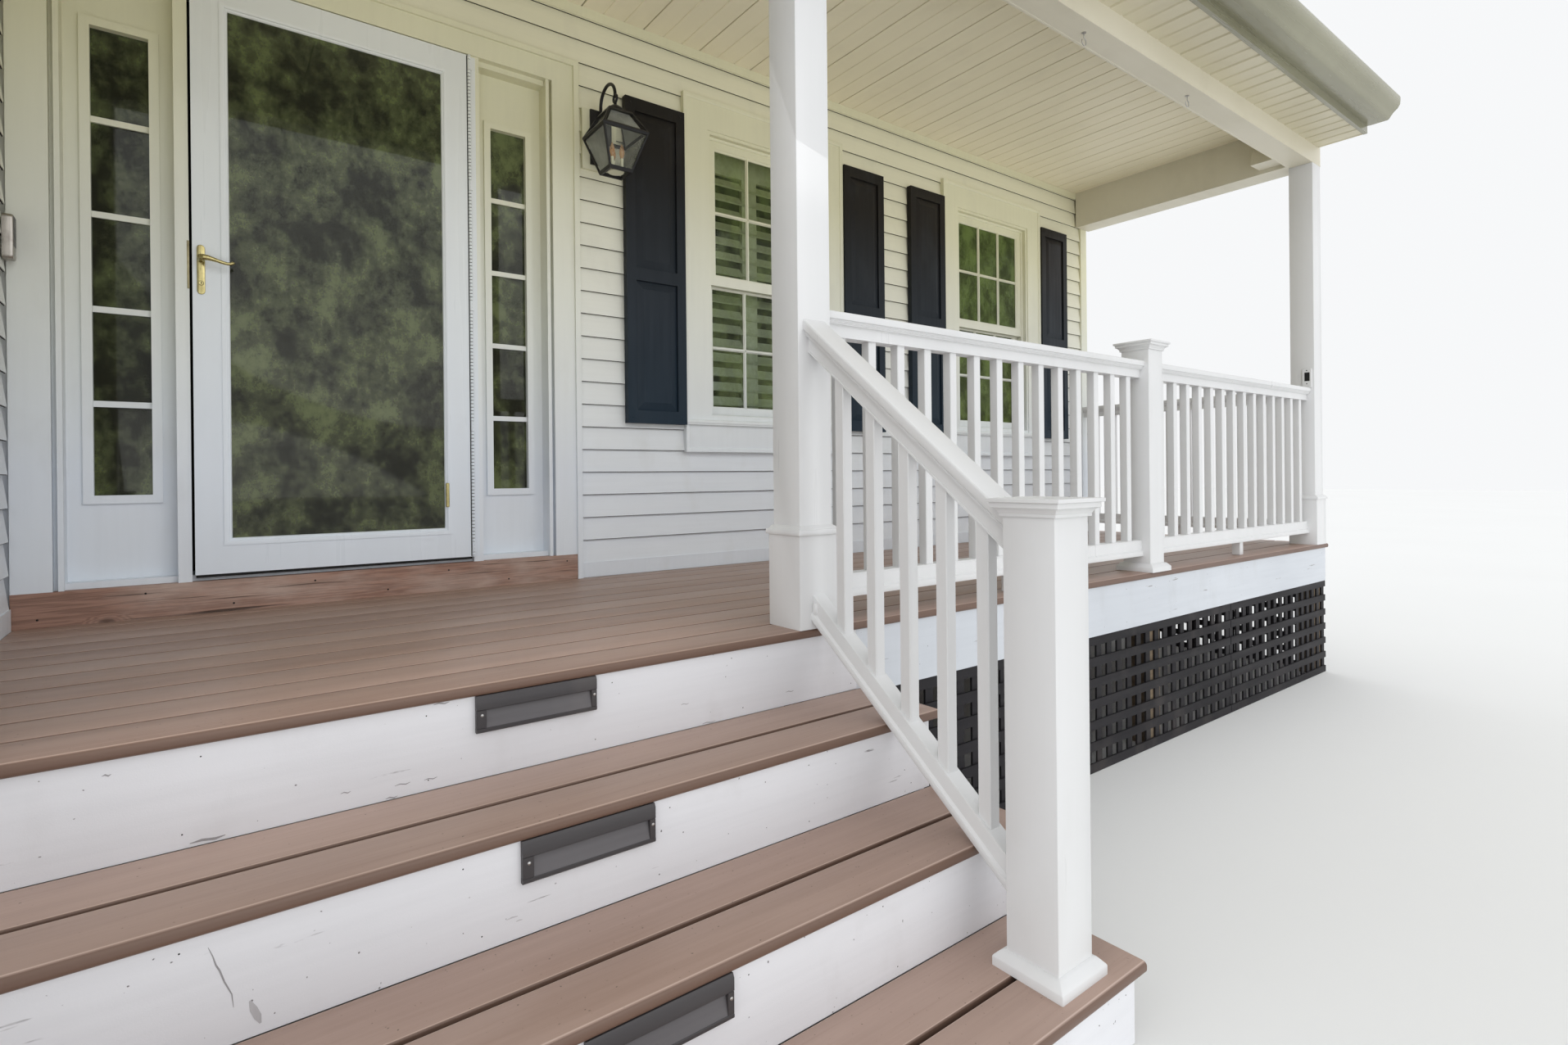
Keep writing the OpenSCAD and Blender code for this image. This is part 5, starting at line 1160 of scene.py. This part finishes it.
# part of a ring between the inner radius and the given one, over the angles of reach, in degrees
def barrelArc(radius, low, high, reach):
    turn = np.radians(np.linspace(*reach, 7))
    arcs = [np.column_stack([hinge["x"] + r * np.cos(a), hinge["y"] + r * np.sin(a)])
            for r, a in ((radius, turn), (hinge["inner"], turn[::-1]))]
    return prism(np.vstack(arcs), low, high, "z")


# sleeves: the height divided into equal lengths near the pitch, each cut short by half the gap at its ends
def sleeves(low, high, reach):
    count = max(int(round((high - low) / hinge["pitch"])), 1)
    edges = np.linspace(low, high, count + 1)
    return [barrelArc(hinge["sleeve"], a + hinge["gap"] / 2, b - hinge["gap"] / 2, reach)
            for a, b in zip(edges[:-1], edges[1:])]


feet = np.linspace(doorLow.z + hinge["first"], doorHigh.z - hinge["first"] - hinge["tall"],
                   hinge["knuckles"])
heads = feet + hinge["tall"]
spans = np.column_stack([np.append(doorLow.z + hinge["end"], heads) + hinge["clear"],
                         np.append(feet, doorHigh.z - hinge["end"]) - hinge["clear"]])
line = chamferBoxes([[hinge["lineX"][0], hinge["lineY"][0], doorLow.z + hinge["lineEnd"]]],
                    [[hinge["lineX"][1], hinge["lineY"][1], doorHigh.z - hinge["lineEnd"]]],
                    hinge["lineEdge"])
place("hingeCore", [barrelArc(hinge["core"], a, b, hinge["moving"]) for a, b in spans] + [line],
      finish["blackRubberAndShade"], "black_metal", body=leaf, smooth=30)
place("hingeTeeth", [part for a, b in spans for part in sleeves(a, b, hinge["moving"])],
      finish["doorWhite"], "door_white", body=leaf, smooth=30)
place("hingeCoreFixed", [barrelArc(hinge["core"], a, b, hinge["fixed"]) for a, b in zip(feet, heads)],
      finish["blackRubberAndShade"], "black_metal", smooth=30)
place("hingeTeethFixed", [part for a, b in zip(feet, heads) for part in sleeves(a, b, hinge["fixed"])],
      finish["doorWhite"], "door_white", smooth=30)
place("doorCatch", [chamferBoxes([door["catchLow"]], [door["catchHigh"]], door["catchEdge"])],
      finish["brass"], "brass", body=leaf, smooth=40)

# handle: bevelled long plate, rose, swept lever and key cylinder. Plate rings are (scale, y), turned
# parts (radius, y), and the lever's points (along, up, radius), all but the scale in millimetres
handle = dict(x=-430 * mm, z=1941 * mm, half=11.5 * mm, trim=1 * mm, straight=72 * mm,
              rings=((1.0, -36), (1.0, -39), (0.94, -40.5), (0.80, -41)), lever=34 * mm, leverY=-75.8 * mm,
              wave=3 * mm, key=46 * mm, screwY=-40.8 * mm, screwUp=2 * mm, screwRadius=3.2 * mm,
              screwRise=1.4 * mm,
              rose=[[11, -41], [11, -44], [8, -47], [7.5, -68], [9.6, -72], [9.6, -80], [6, -83]],
              cylinder=[[8, -41], [8, -44.5], [6.8, -46], [6.4, -44.8], [5, -44.6]],
              sweep=[[-6, 1.0, 6.5], [4, 0.5, 10.2], [16, 0.0, 9.3], [30, -2.6, 7.4], [44, -6.4, 6.2],
                     [58, -10.4, 5.6], [71, -12.8, 5.4], [81, -12.2, 5.4], [87, -9.0, 5.6],
                     [90, -5.4, 4.6]])
keySlot = dict(half=1.2 * mm, y0=-45.5 * mm, y1=-44.2 * mm, foot=50.5 * mm, head=41.5 * mm, edge=0.3 * mm)


# plate outline: half circles of the plate's width at both ends of its straight sides
def plateRing(scale, y):
    half = handle["half"] * scale - handle["trim"] * (1 - scale)
    turn = np.linspace(0, math.pi, 13)
    across, up = half * np.cos(turn), handle["straight"] + half * np.sin(turn)
    flat = np.vstack([np.column_stack([across, up]), np.column_stack([-across, -up])])
    return np.column_stack([handle["x"] + flat[:, 0], np.full(len(flat), y * mm), handle["z"] + flat[:, 1]])


points = np.array(handle["sweep"])
t = np.linspace(0, len(points) - 1, 28)
run, lift, radius = [np.interp(t, np.arange(len(points)), points[:, k]) * mm for k in range(3)]
leverPath = np.column_stack([handle["x"] + run, handle["leverY"] - handle["wave"] * np.sin(t / 3.0),
                             handle["z"] + handle["lever"] + lift])
leverParts = [lathe(np.array(handle["rose"]) * mm, (handle["x"], 0, handle["z"] + handle["lever"]), "y", 24),
              tube(leverPath, radius, 12)]
keySpot = (handle["x"], 0, handle["z"] - handle["key"])
plateParts = [closedRings(np.array([plateRing(scale, y) for scale, y in handle["rings"]])),
              lathe(np.array(handle["cylinder"]) * mm, keySpot, "y", 24),
              domes([(handle["x"], handle["screwY"], handle["z"] + handle["screwUp"])], "-y",
                    handle["screwRadius"], handle["screwRise"])]
# painted shade: a dark slot stands for the shaded keyway
keyholes = chamferBoxes([[handle["x"] - keySlot["half"], keySlot["y0"], handle["z"] - keySlot["foot"]]],
                        [[handle["x"] + keySlot["half"], keySlot["y1"], handle["z"] - keySlot["head"]]],
                        keySlot["edge"])
place("keyholeSlot", [keyholes], finish["blackRubberAndShade"], "black_metal", body=leaf, smooth=0)
place("doorPlate", plateParts, finish["brass"], "brass", body=leaf, standsFor=["door_plate"], smooth=35)
place("doorLever", leverParts, finish["brass"], "brass", body=leaf, standsFor=["door_lever"], smooth=50)

# brass strike on the post of the frame beside the latch
strike = dict(x=(-468.2 * mm, -461.2 * mm), z=(1875 * mm, 2037 * mm), proud=1.1 * mm, bite=3 * mm,
              edge=0.5 * mm)
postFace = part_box("entry_frame")[0].y
place("strikePlate", [chamferBoxes([[strike["x"][0], postFace - strike["proud"], strike["z"][0]]],
                                   [[strike["x"][1], postFace + strike["bite"], strike["z"][1]]],
                                   strike["edge"])], finish["oldBrass"], "brass", smooth=0)

# doorbell: rounded case of rings (scale, distance from its face), dark glossy face and turned button
low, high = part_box("doorbell")
bell = dict(corner=12 * mm, rings=((0.97, 2 * mm), (0.92, 0.8 * mm)), wall=6 * mm, inset=6 * mm,
            foot=40 * mm, faceBack=1.8 * mm, faceFront=0.2 * mm, edge=0.7 * mm, button=22 * mm,
            knob=np.array([[11, -2.2], [11, -0.8], [8.6, -0.2], [8.4, -0.9], [5, -0.5]]) * mm)
outline = roundedOutline(low.y, high.y, low.z, high.z, bell["corner"], 5)


# case outline moved in on all sides by the same length, (1 - scale) times its lesser side
def bellRing(scale, x):
    centre = np.array([(low.y + high.y) / 2, (low.z + high.z) / 2])
    size = np.array([high.y - low.y, high.z - low.z])
    flat = centre + (outline - centre) * (1 - 2 * (1 - scale) * size.min() / size)
    return np.column_stack([np.full(len(flat), x), flat[:, 0], flat[:, 1]])


rings = [bellRing(1.0, low.x), bellRing(1.0, high.x - bell["wall"])]
rings += [bellRing(scale, high.x - back) for scale, back in bell["rings"]]
place("bellCase", [closedRings(np.array(rings))], finish["bell"], "bell", standsFor=["doorbell"], smooth=35)
face = chamferBoxes([[high.x - bell["faceBack"], low.y + bell["inset"], low.z + bell["foot"]]],
                    [[high.x - bell["faceFront"], high.y - bell["inset"], high.z - bell["inset"]]],
                    bell["edge"])
place("bellFace", [face], finish["stepLight"], "black_metal", smooth=0)
place("bellButton", [lathe(bell["knob"], (high.x, (low.y + high.y) / 2, low.z + bell["button"]), "x", 20)],
      finish["steel"], "bell", smooth=40)
print("stage: storm door, handle and bell")

# sill board nails: dark heads, low and high by turns
board = dict(firstX=-840 * mm, lastX=860 * mm, count=8, stray=20 * mm, front=-34.2 * mm,
             rows=[806 * mm, 862 * mm], radius=3.4 * mm, rise=0.7 * mm)
xs = np.linspace(board["firstX"], board["lastX"], board["count"])
xs += rng.uniform(-board["stray"], board["stray"], board["count"])
centres = np.column_stack([xs, np.full(board["count"], board["front"]),
                           np.tile(board["rows"], board["count"] // 2)])
place("sillNails", [domes(centres, "-y", board["radius"], board["rise"])], finish["blackRubberAndShade"], "black_metal",
      smooth=60)
print("stage: sill")


# lantern: three candles with bulbs on a plate, sloped panes, hooked arm and screws; turned parts are
# (radius, height) in millimetres
candle = dict(ring=26 * mm, foot=10 * mm, plateFoot=6 * mm,
              sleeve=np.array([[10, 0], [10, 3], [6.5, 4], [6.5, 56], [5, 57]]) * mm,
              bulb=np.array([[5, 57], [6.5, 62], [10.5, 74], [11.5, 84], [9.5, 96], [5.5, 108], [2.2, 116],
                             [0.6, 119]]) * mm,
              plate=np.array([[34, 0], [34, 2], [12, 5], [12, 9]]) * mm)
roofPane = dict(halves=(91 * mm, 48 * mm), heights=(4 * mm, 83 * mm), thick=1.5 * mm, inset=6 * mm)
arm = dict(y=-121.5 * mm, z=2886 * mm, bend=73.5 * mm, wallY=-48 * mm, wallZ=2850 * mm, endZ=2878 * mm,
           thick=7.2 * mm, screws=[(1.035, -0.0402, 2.650), (1.035, -0.0402, 2.860)], screwRadius=5 * mm,
           screwRise=2.4 * mm)
candles, bulbs = [], []
for k in range(3):
    a = math.radians(90 + 120 * k)
    spot = (lamp["x"] + candle["ring"] * math.cos(a), lamp["y"] + candle["ring"] * math.sin(a),
            lamp["foot"] + candle["foot"])
    candles.append(lathe(candle["sleeve"], spot, "z", 16))
    bulbs.append(lathe(candle["bulb"], spot, "z", 16))
candles.append(lathe(candle["plate"], (lamp["x"], lamp["y"], lamp["foot"] + candle["plateFoot"]), "z", 24))
place("lanternCandles", candles, finish["porchTrim"], "pvc_white", smooth=40)
place("lanternBulbs", bulbs, finish["bulbGlass"], "lantern_glass", smooth=60)


# sloped pane on the side (sx, sy): four corners in its outer face and four in its inner face, the eave's
# pair first, wound outwards
def slopedPane(sx, sy):
    corner = []
    for deep in (0.0, roofPane["thick"]):
        for s, level in ((-1, 0), (1, 0), (1, 1), (-1, 1)):
            out = roofPane["halves"][level] - deep
            across = s * (roofPane["halves"][level] - roofPane["inset"])
            corner.append((lamp["x"] + sx * out + sy * across, lamp["y"] + sy * out - sx * across,
                           lamp["eave"] + roofPane["heights"][level]))
    verts = np.array(corner)
    faces = [[0, 1, 2, 3], [7, 6, 5, 4], [0, 4, 5, 1], [1, 5, 6, 2], [2, 6, 7, 3], [3, 7, 4, 0]]
    normal = np.cross(verts[1] - verts[0], verts[2] - verts[1])
    if np.dot(normal, verts[:4].mean(0) - verts[4:].mean(0)) < 0:
        faces = [f[::-1] for f in faces]
    return verts, faces


place("lanternRoofPanes", [slopedPane(sx, sy) for sx, sy in ((0, -1), (1, 0), (0, 1), (-1, 0))],
      finish["lanternGlass"], "lantern_glass", smooth=0)
turn = np.linspace(0, math.pi, 15)
arc = np.column_stack([np.full(15, lamp["x"]), arm["y"] + arm["bend"] * np.cos(turn),
                       arm["z"] + arm["bend"] * np.sin(turn)])
armPath = np.vstack([[lamp["x"], arm["wallY"], arm["wallZ"]], arc, [lamp["x"], lamp["y"], arm["endZ"]]])
place("lanternArm", [tube(armPath, arm["thick"], 12)], finish["blackMetal"], "black_metal", smooth=50)
place("lanternScrews", [domes(arm["screws"], "-y", arm["screwRadius"], arm["screwRise"])],
      finish["brass"], "brass", smooth=60)
print("stage: lantern")


# stage: a pale floor just under the porch, through which the low light shines
stageFloor = dict(half=60, z=-2 * mm, pale=(0.82, 0.82, 0.81), dark=(0.79, 0.79, 0.78), rough=0.9)


# floor's finish: a slow change between two pale greys
def floorMaterial():
    material, tree, shader, coords = freshMaterial("paleFloor", stageFloor["pale"], stageFloor["rough"])
    cloud = noise(tree, coords, 0.4, detail=2)
    connect(tree, shader, colour=mixed(tree, cloud, stageFloor["dark"], stageFloor["pale"]))
    return material


half, z = stageFloor["half"], stageFloor["z"]
mesh = bpy.data.meshes.new("studioFloor")
mesh.from_pydata([(-half, -half, z), (half, -half, z), (half, half, z), (-half, half, z)], [],
                 [(0, 1, 2, 3)])
mesh.materials.append(floorMaterial())
floor = bpy.data.objects.new("studioFloor", mesh)
bpy.context.scene.collection.objects.link(floor)
floor.visible_shadow = False
floor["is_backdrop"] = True

# sky: an even backdrop where it is seen; as light it grows from low at the horizon to high overhead,
# with none from below
skyLight = dict(low=0.60, high=1.30, horizon=0.02, tint=(0.97, 0.985, 1.0, 1),
                backdrop=(0.93, 0.94, 0.95, 1))
world = bpy.data.worlds.new("studio")
bpy.context.scene.world = world
world.use_nodes = True
tree = world.node_tree
path = node(tree, "LightPath").outputs
seen = figure(tree, "MAXIMUM", path["Is Camera Ray"], figure(tree, "MAXIMUM", path["Is Glossy Ray"],
                                                             path["Is Transmission Ray"]))
height = node(tree, "SeparateXYZ", {"Vector": node(tree, "TexCoord").outputs["Generated"]}).outputs[2]
glow = figure(tree, "MULTIPLY", spread(tree, height, 0.0, 1.0, skyLight["low"], skyLight["high"]),
              spread(tree, height, -skyLight["horizon"], 0.0))
ambient = node(tree, "Background", {"Color": skyLight["tint"], "Strength": glow})
backdrop = node(tree, "Background", {"Color": skyLight["backdrop"], "Strength": 1.0})
join = node(tree, "MixShader", {0: seen, 1: ambient.outputs[0], 2: backdrop.outputs[0]})
tree.links.new(join.outputs[0], tree.nodes["World Output"].inputs["Surface"])


# light object turned so that it shines along the direction
def aimedLight(name, data, direction):
    made = bpy.data.objects.new(name, data)
    made.rotation_mode = "QUATERNION"
    made.rotation_quaternion = mathutils.Vector(direction).to_track_quat("-Z", "Y")
    bpy.context.scene.collection.objects.link(made)
    return made


# sun as wide as the given angle in degrees, for soft shadows
def softSun(name, strength, angle, direction):
    data = bpy.data.lights.new(name, "SUN")
    data.energy = strength
    data.angle = math.radians(angle)
    aimedLight(name, data, direction)


softSun("keyLight", 0.36, 40, (-0.25, 1.0, -0.45))
softSun("leftLight", 0.73, 60, (1.0, 0.3, -0.45))
softSun("groundLight", 0.51, 50, (0.05, 1.0, 0.38))


# rectangle that lights the wall and the boards under the roof, itself unseen
def softPanel(name, size, energy, spot, direction):
    data = bpy.data.lights.new(name, "AREA")
    data.shape = "RECTANGLE"
    data.size, data.size_y = size
    data.energy = energy
    made = aimedLight(name, data, direction)
    made.location = spot
    made.visible_camera = False
    made.visible_glossy = False


softPanel("porchPanel", (5.6, 1.0), 3.2, (1.9, -1.30, 2.50), (-0.1, 1.0, -0.42))
softPanel("entryPanel", (1.7, 0.5), 2.2, (0.0, -1.55, 1.20), (-0.12, 1.0, -0.28))

# the photograph's view: place, right and up axes, lens and shift of the fitted camera
view = dict(place=(-0.445, -3.2165, 1.225), lens=17.4725, shiftX=0.016781, shiftY=-0.029137,
            right=(0.805424, -0.592614, -0.010030), up=(0.008622, -0.005206, 0.999949),
            back=(-0.592637, -0.805469, 0.000917))
cameraData = bpy.data.cameras.new("photoView")
cameraData.sensor_width = 36
cameraData.lens = view["lens"]
cameraData.shift_x = view["shiftX"]
cameraData.shift_y = view["shiftY"]
cameraData.clip_start = 0.02
cameraData.clip_end = 200
camera = bpy.data.objects.new("photoView", cameraData)
axes = mathutils.Matrix((view["right"], view["up"], view["back"])).transposed().to_4x4()
camera.matrix_world = mathutils.Matrix.Translation(view["place"]) @ axes
bpy.context.scene.collection.objects.link(camera)
bpy.context.scene.camera = camera
bpy.context.scene.view_settings.view_transform = "Standard"
print("stage: light and camera")

low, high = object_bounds()
